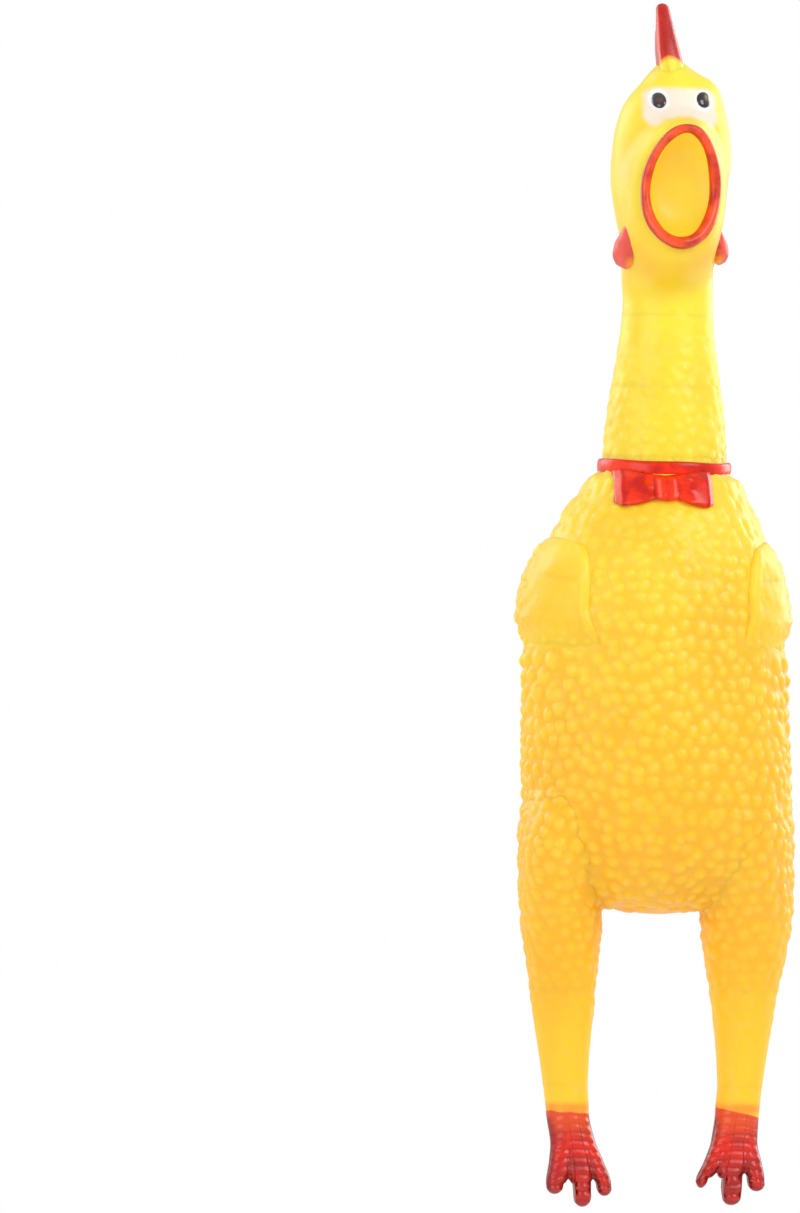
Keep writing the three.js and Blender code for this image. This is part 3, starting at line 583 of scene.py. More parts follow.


# PALE is also the painted highlight on the pebble tops, DEEP_GOLD also the painted shade between the pebbles,
# DARK_RED also the painted shade on red paint, and PINK the painted highlight on red paint.
LEMON = tint(254, 232, 58)
GOLD = tint(254, 190, 14)
DEEP_GOLD = tint(250, 160, 6)
PALE = tint(255, 234, 110)
CREAM = tint(250, 232, 214)
WHITE = tint(255, 253, 250)
SCARLET = tint(226, 32, 10)
DARK_RED = tint(142, 10, 8)
EMBER = tint(228, 78, 20)
ORANGE = tint(252, 140, 30)
PINK = tint(246, 108, 92)


def soft_vinyl():
    """Cast vinyl that lets light in: lemon at the head, golden below, paler on top of each pebble as a painted
    highlight and deeper between them as painted shade, with sprayed cream, white and red laid over it where
    the marks say. The orange flush is sprayed paint by the lip, the comb and the feet, and painted shade under
    the torso; the red carries painted shade in its hollows and along its edges, and pink painted highlights."""
    material, tree, shader = nodes_of("soft yellow vinyl")
    place = where(tree)
    clouds = noise(tree, place, 38, 3)
    base = mixed(tree, mark(tree, "tone"), LEMON, GOLD)
    base = mixed(tree, ranged(tree, clouds, 0.42, 0.8, 0, 0.35), base, DEEP_GOLD)
    # painted shade: deep gold between the pebbles, in creases and grooves, and round the muzzle
    valley_shade = mixed(tree, mark(tree, "valley_shade"), base, DEEP_GOLD)
    # painted highlight: pale tops of the pebbles and of the wing's front ridge
    top = mixed(tree, ranged(tree, mark(tree, "pebble"), 0.15, 1.1, 0, 0.27), valley_shade, PALE)
    speck = noise(tree, place, 900, 2)
    top = mixed(tree, ranged(tree, speck, 0.62, 0.75, 0, 0.1), top, PALE)
    edge = ranged(tree, noise(tree, place, 260, 3), 0.2, 0.8, -0.12, 0.12)
    cream = ranged(tree, sums(tree, "ADD", mark(tree, "cream"), edge), 0.0, 0.95)
    top = mixed(tree, cream, top, CREAM)
    top = mixed(tree, ranged(tree, mark(tree, "white"), 0.15, 0.85), top, WHITE)
    # orange: sprayed paint by the lip, at the comb's foot and at the feet's paint line, and painted shade
    # under the torso
    orange_paint_and_shade = ranged(tree, sums(tree, "ADD", mark(tree, "orange"), edge), 0.1, 0.9, 0, 0.8)
    top = mixed(tree, orange_paint_and_shade, top, ORANGE)
    red = ranged(tree, sums(tree, "ADD", mark(tree, "red"), edge), 0.35, 0.65)
    red_mottle_shade_and_highlight = mixed(tree, ranged(tree, noise(tree, place, 150, 3), 0.35, 0.75, 0, 0.7), SCARLET, DARK_RED)
    red_mottle_shade_and_highlight = mixed(tree, mark(tree, "ember"), red_mottle_shade_and_highlight, EMBER)
    # painted shade: dark red in the hollows and along the edges of the comb and feet
    red_mottle_shade_and_highlight = mixed(tree, mark(tree, "deep"), red_mottle_shade_and_highlight, DARK_RED)
    # painted highlight: pink on the comb's lit flanks
    red_mottle_shade_and_highlight = mixed(tree, mark(tree, "paint_blush_and_highlight"), red_mottle_shade_and_highlight, PINK)
    top = mixed(tree, red, top, red_mottle_shade_and_highlight)
    tree.links.new(top, shader.inputs["Base Color"])
    gloss = ranged(tree, noise(tree, place, 120, 2), 0.3, 0.7, 0.36, 0.46)
    rough = sums(tree, "SUBTRACT", gloss, sums(tree, "MULTIPLY", red, 0.14))
    tree.links.new(rough, shader.inputs["Roughness"])
    inner_light(shader, 0.35, (1.0, 0.55, 0.12), 0.004)
    shader.inputs["IOR"].default_value = 1.5
    shader.inputs["Sheen Weight"].default_value = 0.1
    shader.inputs["Sheen Roughness"].default_value = 0.35
    shader.inputs["Sheen Tint"].default_value = (*tint(255, 248, 190), 1)
    grain(tree, shader, noise(tree, place, 1500, 3, 0.6), 0.12, 0.0003)
    return material


def red_paint(name, bright, dark, rough=0.26):
    """Glossy red paint: brighter where it lies thick, with painted shade in its hollows and along its edges,
    pink painted highlights on its lit faces, and gone to orange where the brush ran out."""
    material, tree, shader = nodes_of(name)
    place = where(tree)
    body = mixed(tree, ranged(tree, noise(tree, place, 170, 3), 0.35, 0.72), bright, dark)
    # painted shade: darker red in the hollows and along the edges
    body = mixed(tree, mark(tree, "deep"), body, dark)
    # painted highlight: pink on the lit faces
    body = mixed(tree, ranged(tree, mark(tree, "paint_blush_and_highlight"), 0.1, 1, 0, 0.75), body, PINK)
    edge = ranged(tree, noise(tree, place, 420, 3), 0.2, 0.8, -0.14, 0.14)
    bare = sums(tree, "ADD", mark(tree, "bare"), edge)
    body = mixed(tree, ranged(tree, bare, 0.15, 0.6), body, ORANGE)
    body = mixed(tree, ranged(tree, bare, 0.5, 0.95), body, LEMON)
    tree.links.new(body, shader.inputs["Base Color"])
    uneven_gloss(tree, shader, place, 300, rough - 0.05, rough + 0.08)
    inner_light(shader, 0.12, (1.0, 0.2, 0.1), 0.002)
    shader.inputs["Specular IOR Level"].default_value = 0.32
    shader.inputs["Coat Weight"].default_value = 0.1
    shader.inputs["Coat Roughness"].default_value = 0.16
    grain(tree, shader, noise(tree, place, 700, 3, 0.6), 0.16, 0.0003)
    return material


def mouth_vinyl():
    """The bare inside of the mouth: golden vinyl, more orange low on one side as painted shade. A little of
    the light that comes through the thin wall is given as a faint glow."""
    material, tree, shader = nodes_of("mouth vinyl")
    place = where(tree)
    # painted shade: oranger gold low on one side of the bowl
    base = mixed(tree, mark(tree, "orange"), tint(255, 222, 62), tint(255, 202, 42))
    base = mixed(tree, ranged(tree, noise(tree, place, 120, 2), 0.4, 0.8, 0, 0.2), base, tint(255, 210, 50))
    tree.links.new(base, shader.inputs["Base Color"])
    uneven_gloss(tree, shader, place, 200, 0.42, 0.52)
    tree.links.new(base, shader.inputs["Emission Color"])
    shader.inputs["Emission Strength"].default_value = 0.14
    inner_light(shader, 0.5, (1.0, 0.6, 0.15), 0.006)
    grain(tree, shader, noise(tree, place, 1200, 3), 0.1, 0.0003)
    return material


def eye_paint():
    """A bead of gloss paint: brown-black with a warm brown middle and a dusty glint."""
    material, tree, shader = nodes_of("eye paint")
    place = where(tree)
    base = mixed(tree, mark(tree, "warm"), tint(24, 14, 10), tint(96, 48, 34))
    dust = ranged(tree, noise(tree, place, 900, 3), 0.5, 0.8, 0, 0.25)
    base = mixed(tree, dust, base, tint(120, 112, 80))
    base = mixed(tree, mark(tree, "glint"), base, tint(150, 146, 122))
    tree.links.new(base, shader.inputs["Base Color"])
    uneven_gloss(tree, shader, place, 500, 0.12, 0.22)
    shader.inputs["Coat Weight"].default_value = 0.8
    shader.inputs["Coat Roughness"].default_value = 0.06
    return material


def moulded(name, colour, darker, rough, flow=60):
    """Hard moulded plastic of the squeaker: flow clouds in its colour, uneven gloss and a fine grain."""
    material, tree, shader = nodes_of(name)
    place = own_place(tree)
    base = mixed(tree, ranged(tree, noise(tree, place, flow, 3), 0.35, 0.75), colour, darker)
    tree.links.new(base, shader.inputs["Base Color"])
    uneven_gloss(tree, shader, place, 400, rough, rough + 0.12)
    grain(tree, shader, noise(tree, place, 2500, 2), 0.08, 0.0002)
    return material


VINYL = soft_vinyl()
GLOSS_RED = red_paint("gloss red paint", tint(255, 52, 6), tint(196, 18, 2), 0.26)
LIP_RED = red_paint("lip paint", tint(250, 88, 38), tint(190, 44, 18), 0.3)
FLESH_RED = red_paint("wattle paint", tint(232, 66, 52), tint(176, 26, 28), 0.34)
MOUTH = mouth_vinyl()
EYE = eye_paint()


# ---- the skins


TONES = ((-150, 0.72), (-110, 0.74), (-64, 0.95), (-20, 0.85), (20, 0.62), (60, 0.36), (100, 0.2),
         (130, 0.05), (190, 0))


def tone(z):
    """0 where the vinyl is lemon, at the head, to 1 where it is golden, low on the body."""
    return through(TONES, z)


# pebble strength at each height
RELIEF = ((-62, 0.85), (-40, 1), (10, 1), (34, 0.9), (52, 0.68), (66, 0.5), (84, 0.42), (100, 0.26),
          (114, 0.08), (124, 0))

# wing edges: height, then degrees round the torso from its front
WING_RIM = {-1: ((13, 31.5), (15, 32.5), (21, 36.2), (26, 38.6), (32, 39.4), (37.5, 41.2), (42, 45),
                 (45, 52), (47, 63)),
            1: ((13, 32), (15, 33), (21, 36.6), (26, 38.8), (32, 39.6), (37.5, 42), (42, 46.5),
                (45, 54), (47, 66))}
WING_BACK = ((14, 118), (30, 122), (43, 112), (47, 98))
WING_FOOT, WING_HEAD = 14.0, WING_TOP + 0.6
WING_EDGE = 3.2


def wing_inside(z, angle, side):
    """How far a point of the torso lies inside the wing's outline: the smallest of the distances to the
    front rim, the back, the top and the foot."""
    a = np.abs(np.degrees((angle + math.pi) % (2 * math.pi) - math.pi))
    on_side = np.sign(np.sin(angle)) == side
    radius = trunk(z)[0]
    front = np.radians(a - through(WING_RIM[side], z)) * radius
    back = np.radians(through(WING_BACK, z) - a) * radius
    top = WING_HEAD - z - 0.004 * (a - 82) ** 2 * 0.6
    foot = z - WING_FOOT - 1.6 * np.abs(np.sin(a * 0.14))
    inside = np.minimum(np.minimum(front, back), np.minimum(top, foot))
    return np.where(on_side, inside, -20)


FEATHERS = ((60, 10.8), (72, 11.4), (84, 11.0), (96, 10.6), (66, 6.2), (78, 6.4), (90, 6.0), (72, 1.8),
            (85, 1.6))
FEATHER_RADIUS = 3.2


def feather_centres(side):
    """Centres of the larger lobes below a wing."""
    angle, z = np.radians([f[0] for f in FEATHERS]), np.array([f[1] for f in FEATHERS])
    return ring(trunk, z, side * angle)


def make_torso():
    """The torso's skin, from the collar to the pole of its underside."""
    top = NECK_FOOT + 0.6
    heights = even_heights(top, TORSO_LOW[2], trunk, 292)
    z, angle = grid(heights, turns(TORSO_COLUMNS))
    points = ring(trunk, z, angle)
    normal = outward(points)
    normal[-2:] = (0, 0, -1)
    centres = sow(top, TORSO_LOW[2] + 1, trunk, PEBBLE_SPACING, 1)
    big = np.concatenate([feather_centres(side) for side in (-1, 1)])
    gap = np.linalg.norm(centres[:, None] - big[None], axis=-1).min(1)
    centres = centres[gap > FEATHER_RADIUS + 0.8]
    fine = pebbles(points, centres) * through(RELIEF, z)
    lobes = pebbles(points, big, FEATHER_RADIUS)
    clear = np.ones_like(z)
    for side in (-1, 1):
        clear *= 1 - ease((wing_inside(z, angle, side) + 1.4) / 1.6)
    under_bow = np.hypot(points[..., 0] / 14, (z - 62) / 7)
    clear *= np.where(points[..., 1] < 0, 0.25 + 0.75 * ease((under_bow - 0.8) / 0.5), 1)
    raised = np.maximum(fine * PEBBLE_RISE, lobes * 1.25) * clear
    swell = sum(fillet(off_thigh(points, side)) for side in (-1, 1))
    swell *= ease((z - TORSO_LOW[2]) / 4)
    points = points + normal * (raised + swell - 0.25)[..., None]
    high = np.maximum(fine, lobes) * clear
    low = (1 - np.clip(high * 3, 0, 1)) * clear * through(RELIEF, z)
    rim = ease(1 - (z - TORSO_LOW[2]) / 5)
    # painted highlight on the pebble tops, painted shade between them, and orange painted shade on the
    # underside between the thighs
    marks = {"tone": tone(z), "pebble": high * (1 - 0.55 * tone(z)), "valley_shade": 0.3 * low * tone(z),
             "orange": 0.42 * rim}
    piece = grid_mesh("torso_skin", points, pole=True, material=VINYL, marks=marks)
    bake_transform(piece)
    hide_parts("torso_shell", "belly_panel")


def make_wing(side):
    """A wing: a smooth pad over the torso, raised inside its outline, with a ridge along its front rim
    and faint feather lines."""
    z_line = np.linspace(WING_FOOT - 2, WING_HEAD + 2, 120)
    span_line = np.linspace(26, 126, 200)
    z, a = grid(z_line[::-1], np.radians(span_line) * side)
    if side < 0:
        a, z = a[:, ::-1], z[:, ::-1]
    points = ring(trunk, z, a)
    normal = outward(points, closed=False)
    inside = wing_inside(z, a, side)
    edge = np.sqrt(np.clip(1 - (1 - np.clip(inside / WING_EDGE, 0, 1)) ** 2, 0, 1))
    degrees = np.abs(np.degrees(a))
    from_rim = np.radians(degrees - through(WING_RIM[side], z)) * trunk(z)[0]
    strength = 0.36 if side < 0 else 0.2
    ridge = strength * bell(from_rim, 1.8, 1.2) * ease(inside / 1.2)
    swell = 1.0 * ease((degrees - 50) / 36) * ease(inside / 7) * ease((44 - z) / 14)
    line = 0.2 * np.exp(-((z - 34.8 - 0.03 * (degrees - 60)) / 0.9) ** 2) * ease((from_rim - 2) / 3)
    line = line * (1 - ease((degrees - 68) / 14))
    bumps = pebbles(points, sow(WING_HEAD, WING_FOOT - 2, trunk, 3.9, 6), 1.9)
    bumps = bumps * (0.14 + 0.75 * ease((degrees - 74) / 14) + 0.7 * ease((23 - z) / 7)) * ease(inside / 2)
    wave = 0.16 * np.sin(degrees / 4.2 + z * 0.31) * np.sin(z / 2.6) * ease(inside / 4)
    height = 1.4 * edge * (1 - 0.4 * ease((z - 38) / 8))
    level = ease((z - WING_FOOT - 1) / 8.5)
    rise = (height + ridge + swell * edge - line * edge + wave) * level - 0.32 * (1 - level) + 0.62 * bumps
    rise = np.where(inside <= 0, np.maximum(-1.4, inside * 1.6 - 0.3 * (1 - level)), rise)
    points = points + normal * rise[..., None]
    # painted shade: darker inside the wing and along its feather line; painted highlight: paler front ridge
    # and pebbles
    hollow = 0.12 * ease((inside - 3) / 4) * (1 - np.clip(bumps, 0, 1))
    marks = {"tone": tone(z) * 0.95, "pebble": np.clip(ridge * 1.3 + 0.5 * bumps, 0, 1),
             "valley_shade": 0.22 * np.clip(line * 3, 0, 1) + hollow}
    which = SIDE_NAME[side]
    piece = grid_mesh(f"wing_{which}_skin", points, closed=False, material=VINYL, marks=marks)
    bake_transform(piece)
    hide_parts(f"wing_{which}")


def neck_skin(node, top, bottom):
    """A length of neck. It is worked out one row past each end,
    so that its shading runs on."""
    heights = np.linspace(top, bottom, NECK_ROWS)
    step = heights[0] - heights[1]
    heights = np.concatenate([[top + step], heights, [bottom - step]])
    z, angle = grid(heights, turns(NECK_COLUMNS))
    points, high = neck_surface(z, angle)
    normal = outward(points)
    # painted highlight on the pebble tops and painted shade between them
    low = (1 - np.clip(high * 3, 0, 1)) * through(RELIEF, z)
    marks = {"tone": tone(z), "pebble": high, "valley_shade": 0.25 * low * tone(z)}
    marks = {key: value[1:-1] for key, value in marks.items()}
    piece = grid_mesh(f"{node}_skin", points[1:-1], material=VINYL, marks=marks, normals=normal[1:-1])
    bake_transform(piece)
    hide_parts(node)


NECK_CENTRES = sow(126, NECK_FOOT - 6, trunk, 4.4, 2)


def neck_surface(z, angle):
    """The neck with its low pebbles, which fade towards the head."""
    points = ring(trunk, z, angle)
    high = pebbles(points, NECK_CENTRES, 2.1) * through(RELIEF, z)
    return points + outward(points) * (high * PEBBLE_RISE - 0.2)[..., None], high


MOUTH_Z = (LIP_LOW[2] + LIP_HIGH[2]) / 2 - 1.1
MOUTH_X = -1.1
LIP_TUBE = 1.55
LIP_WIDE = LIP_HIGH[0] - 1.5
LIP_TALL = (LIP_HIGH[2] - LIP_LOW[2]) / 2 - 1.5
LIP_SIDE_Y = -21.4
LIP_TIP_Y = LIP_LOW[1] + 1.5
MOUTH_TILT = 0.035


def lip_curve(turn):
    """The middle of the lip: a tall egg, wider below, whose top and bottom reach further forward."""
    across = LIP_WIDE * np.cos(turn) * (1 - 0.07 * np.sin(turn))
    up = LIP_TALL * np.sin(turn)
    y = LIP_SIDE_Y + (LIP_TIP_Y - LIP_SIDE_Y) * np.sin(turn) ** 2
    return MOUTH_X + across + MOUTH_TILT * up, y, MOUTH_Z + up


def mouth_share(x, z):
    """1 on the lip's middle line, less inside and more outside, and the turn round the mouth."""
    up = z - MOUTH_Z
    wide = LIP_WIDE * (1 - 0.07 * np.clip(up / LIP_TALL, -1, 1))
    across = (x - MOUTH_X - MOUTH_TILT * up) / wide
    return np.hypot(across, up / LIP_TALL), np.arctan2(up / LIP_TALL, across)


def face(x, z, base):
    """How far forward the face lies, from the head's own front. Round the mouth it is drawn forwards to
    the lip, and it swells a little at the brow."""
    share, turn = mouth_share(x, z)
    front = ease(-base / 4 - 0.2)
    reach = 1.78 - 0.34 * np.sin(turn)
    pull = ease((reach - share) / (reach - 1.02)) * front
    lip_y = lip_curve(turn)[1] + 0.9
    brow = bell(z, 178.2, 2.0) * np.exp(-(x / 8.5) ** 4) * front
    return base + np.minimum(lip_y - base, 0) * pull - 0.5 * brow, share


def head_surface(z, angle):
    """The head with its muzzle. Inside the lip the skin sinks behind the lining."""
    points = ring(skull, z, angle)
    front = ease(-points[..., 1] / 4 - 0.2)
    y, share = face(points[..., 0], z, points[..., 1])
    inside = ease((1.0 - share) / 0.08) * front
    points[..., 1] = y + (LINING_LOW[1] + 21.5 - y) * inside
    return points, share


def make_head():
    """The head's skin with its sprayed mask, and white rings round the eyes."""
    heights = even_heights(CROWN - 0.002, SEAM_HEAD, skull, 236)[::-1]
    step = heights[1] - heights[0]
    heights = np.concatenate([[heights[0] - step], heights])[::-1]
    z, angle = grid(heights, turns(NECK_COLUMNS))
    on_neck = z < NECK_TOP + 8
    neck_points, high = neck_surface(np.minimum(z, 128), angle)
    points, share = head_surface(z, angle)
    blend_down = ease((z - 114) / 9)[..., None]
    neck_points[..., 2] = z
    neck_points = np.where(on_neck[..., None], neck_points, points)
    points = neck_points * (1 - blend_down) + points * blend_down
    swell = fillet(np.maximum(off_comb(points[..., 0], points[..., 1]), -2)) * ease((z - 176.5) / 5)
    points = points + outward(points) * 1.35 * swell[..., None]
    x = points[..., 0] - 0.2
    front = ease(-points[..., 1] / 5)
    eye_z = (EYE_LOW[2] + EYE_HIGH[2]) / 2
    eye_x = (EYE_LOW[0] + EYE_HIGH[0]) / 2
    bar = np.hypot(np.maximum(np.abs(x) - 6.8, 0) / 3.9, np.maximum(np.abs(z - 172.6) - 1.6, 0) / 3.3)
    lobe = np.hypot((np.abs(x) - 8.4) / 3.0, (z - 169.4) / 4.0)
    cream = np.maximum(1 - ease((bar - 0.5) / 0.9), 1 - ease((lobe - 0.3) / 1.0))
    cream *= ease((share - 1.12) / 0.22) * front
    ring_gap = np.hypot((np.abs(x) - eye_x) / 2.95, (z - eye_z) / 3.35)
    white = (1 - ease((ring_gap - 0.72) / 0.5)) * front
    paint_blush_and_highlight = bell(share, 1.14, 0.12) * front
    throat = 0.35 * ease((144 - z) / 18) * ease((z - 113) / 14) * front
    # the valley mark is painted shade in a ring round the muzzle; the orange ring just outside the lip is
    # sprayed paint
    marks = {"tone": np.clip(tone(z) + throat, 0, 1), "pebble": high * (z < 128),
             "cream": cream, "white": white, "orange": 0.25 * paint_blush_and_highlight,
             "valley_shade": 0.16 * front * bell(share, 1.5, 0.2)}
    marks = {key: value[:-1] for key, value in marks.items()}
    real = outward(points)
    real[0] = (0, 0, 1)
    piece = grid_mesh("head_skin", points[:-1], material=VINYL, marks=marks, normals=real[:-1])
    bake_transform(piece)
    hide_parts("head_shell")


def make_lip():
    """The beak's rim: a tube carried round the mouth, thicker below and on one side, with a painted dark edge,
    partly painted shade, along its outer and inner sides, and pink painted highlights on its front.
    """
    around, turn = grid(turns(260), turns(40))
    x, y, z = lip_curve(around)
    middle = np.stack([x, y, z], -1)
    ahead = np.stack(lip_curve(around + 1e-3), -1) - middle
    ahead /= np.linalg.norm(ahead, axis=-1, keepdims=True)
    out = np.stack([np.cos(around) / LIP_WIDE, 0 * x, np.sin(around) / LIP_TALL], -1)
    out -= ahead * (out * ahead).sum(-1, keepdims=True)
    out /= np.linalg.norm(out, axis=-1, keepdims=True)
    front = np.cross(out, ahead)
    front *= -np.sign(front[..., 1:2])
    thick = LIP_TUBE * (1 + 0.1 * np.cos(around) - 0.12 * np.sin(around) + 0.04 * np.sin(7 * around))
    wide = np.cos(turn) * thick
    points = middle + out * wide[..., None] + front * (np.sin(turn) * thick * 1.15)[..., None]
    # painted shade along the outer and inner edges, as well as a painted outline; pink painted highlights on
    # the front
    marks = {"deep": np.clip(0.9 * (np.cos(turn) > 0.8) + 0.5 * (np.cos(turn) < -0.75), 0, 1),
             "paint_blush_and_highlight": np.clip(np.sin(turn) * np.cos(turn - 0.4), 0, 1) * 0.5}
    piece = grid_mesh("beak_rim_skin", points, material=LIP_RED, marks=marks)
    bridge(piece)
    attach(piece, "head")
    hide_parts("beak_rim")


def make_lining():
    """The inside of the mouth: a bowl from behind the lip, its depth a rounded curve of the share out."""
    share, turn = grid(np.linspace(1, 0, 60), turns(180))
    x, y, z = lip_curve(turn)
    back = LINING_HIGH[1] - 15.5
    deep = (1 - share ** 3.2) ** 0.8
    points = np.stack([MOUTH_X + (x - MOUTH_X) * share * 0.97, y + 0.6 + (back - y) * deep,
                       MOUTH_Z + (z - MOUTH_Z) * share * 0.97], -1)
    # painted shade: the bowl is oranger low on one side
    low = ease(0.5 - (points[..., 2] - MOUTH_Z) / 40 - points[..., 0] / 20)
    marks = {"orange": low * 0.9}
    piece = grid_mesh("mouth_lining_skin", points[:, ::-1], pole=True, material=MOUTH,
                      marks={k: v[:, ::-1] for k, v in marks.items()})
    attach(piece, "head")
    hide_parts("mouth_lining")


def skin_front(x, z):
    """How far forward the head's skin reaches at a place on the face."""
    across, deep, cx, cy = skull(z)
    return face(x, z, cy - deep * np.sqrt(np.clip(1 - ((x - cx) / across) ** 2, 0, 1)))[0]


def make_eye(side):
    """An eye: a low dome of paint that follows the face, half an ellipse high."""
    share, turn = grid(np.linspace(1, 0, 26), turns(56))
    middle_x = side * (EYE_LOW[0] + EYE_HIGH[0]) / 2 + 0.2
    middle_z = (EYE_LOW[2] + EYE_HIGH[2]) / 2 + 0.25 * side
    x = middle_x + (2.3 if side > 0 else 2.0) * share * np.cos(turn)
    z = middle_z + 2.4 * share * np.sin(turn)
    rise = 1.15 * np.sqrt(np.clip(1 - share ** 2, 0, 1)) - 0.12
    points = np.stack([x, skin_front(x, z) - rise, z], -1)
    warm = np.exp(-((x - middle_x - 0.1) ** 2 + (z - middle_z + 0.2) ** 2) / 0.6)
    glint = np.exp(-((x - middle_x - 0.7) ** 2 / 0.3 + (z - middle_z - 0.8) ** 2 / 0.7))
    marks = {"warm": warm * (1 if side < 0 else 0.3), "glint": glint * (0.9 if side > 0 else 0.1)}
    which = SIDE_NAME[side]
    piece = grid_mesh(f"eye_{which}_dome", points, pole=True, material=EYE, marks=marks)
    turn_towards(piece, (0, -1, 0))
    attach(piece, "head")
    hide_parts(f"eye_{which}")


WATTLE_ENDS = {-1: (WATTLE_HIGH[2] + 8.0, WATTLE_LOW[2] - 0.6),
               1: (WATTLE_HIGH[2] + 4.6, WATTLE_LOW[2] + 1.4)}
# its width at each share of its fall
WATTLE_WIDE = ((0, 0), (0.1, 0.13), (0.3, 0.22), (0.46, 0.55), (0.62, 0.92), (0.77, 1), (0.92, 0.68), (1, 0))


def make_wattle(side):
    """A wattle: a flattened teardrop that hangs along the jaw from a sharp point, half sunk in the skin.
    Its middle line follows the head's section, and stands away from it lower down."""
    v, u = grid(np.linspace(0, 1, 80), turns(72))
    fall = (1 - np.cos(math.pi * v)) / 2
    top, bottom = WATTLE_ENDS[side]
    z = top + (bottom - top) * fall
    width = through(WATTLE_WIDE, fall)
    across, deep, cx, cy = skull(z)
    bearing = np.radians((52 if side < 0 else 56) + 11 * fall)
    stand = 0.6 + 1.4 * ease(fall * 1.4)
    along, out = (5.9 if side < 0 else 4.2) * width * np.cos(u), 2.6 * width ** 0.8 * np.sin(u)
    x = (across + stand + out) * np.sin(bearing) + along * np.cos(bearing)
    y = cy - (deep + stand + out) * np.cos(bearing) + along * np.sin(bearing)
    points = np.stack([cx + side * x, y, z], -1)
    inner = ease((0.2 - np.cos(u)) / 1.2)
    # painted shade: dark at the top point where the wattle meets the head, and along its edges; painted
    # highlight: pink on its outer face
    marks = {"deep": np.clip(0.9 * ease(1 - fall * 3.2) + 0.7 * (np.abs(np.cos(u)) > 0.8), 0, 1),
             "paint_blush_and_highlight": np.clip(np.sin(u), 0, 1) * 0.75 * ease(fall * 2),
             "bare": 0.55 * inner * ease((fall - 0.55) / 0.4)}
    which = SIDE_NAME[side]
    piece = grid_mesh(f"wattle_{which}_skin", points, pole=True, material=FLESH_RED, marks=marks)
    weld(piece)
    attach(piece, "head")
    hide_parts(f"wattle_{which}")


def edge_gap(across, up, line_across, line_up):
    """Distance of each point of a flat shape from its outline."""
    line = np.stack([line_across, line_up], -1)
    flat = np.stack([across, up], -1).reshape(-1, 2)
    gap = np.concatenate([np.linalg.norm(part[:, None] - line[None], axis=-1).min(1)
                          for part in np.array_split(flat, 24)])
    return gap.reshape(across.shape)


def pillow(gap, thick):
    """Half thickness of a flat shape with round edges: a quarter circle up from its outline."""
    return np.sqrt(np.clip(thick ** 2 - np.clip(thick - gap, 0, None) ** 2, 0, None))


# the comb's outline from front to back: place, then height over the crown
COMB_TOP = ((-12.6, -9.5), (-11.4, -6.4), (-10.4, -3.6), (-9.4, -0.6), (-8.2, 3.4), (-6.6, 7.5),
            (-4.7, 11.4), (-2.6, 15.2), (-0.6, 18.2), (1.2, 19.3), (3.0, 18.6), (4.8, 15.4), (6.4, 13.2),
            (8.4, 13.3), (10.2, 11.6), (11.8, 7.8), (13.0, 4.0), (14.0, -1.5), (14.7, -6.5), (15.3, -11))
COMB_LEAN = ((178, -1.2), (183, -1.5), (186, -2.1), (193, -3.3), (202, -4.5))
COMB_HALF = ((178, 3.9), (182, 3.7), (185, 3.5), (188.6, 3.3), (192, 2.95), (195.6, 2.55), (199, 2.2),
             (202, 2.0))
COMB_FOOT_HALF = 3.7
COMB_MIDDLE, COMB_REACH = 2.5, 11.6
COMB_FRONT, COMB_BACK = -12.5, 15.2


def comb_axis(y, z):
    """The comb leans to one side as it rises, and turns a little towards its back."""
    return through(COMB_LEAN, z) + 0.13 * (y + 8)


def off_comb(x, y):
    """About how far a place on the crown lies outside the comb's foot, a long ellipse."""
    share = np.hypot((x - comb_axis(y, CROWN)) / COMB_FOOT_HALF, (y - COMB_MIDDLE) / COMB_REACH)
    return (share - 1) * COMB_FOOT_HALF


def crown_at(x, y):
    """Height of the crown over a place: the head's rows read backwards from their share of the width."""
    share = np.linspace(0.6, 1, 400)
    wide = np.where(share > 0.985, 0.34 * np.sqrt((1 - share) / 0.015), through(HEAD, share))
    height = NECK_TOP + 0.4 + share * (CROWN - NECK_TOP - 0.4)
    out = np.hypot((x - 0.9) / HEAD_HALF_WIDTH, (y - 0.6) / HEAD_HALF_DEPTH)
    return np.interp(out, wide[::-1], height[::-1])


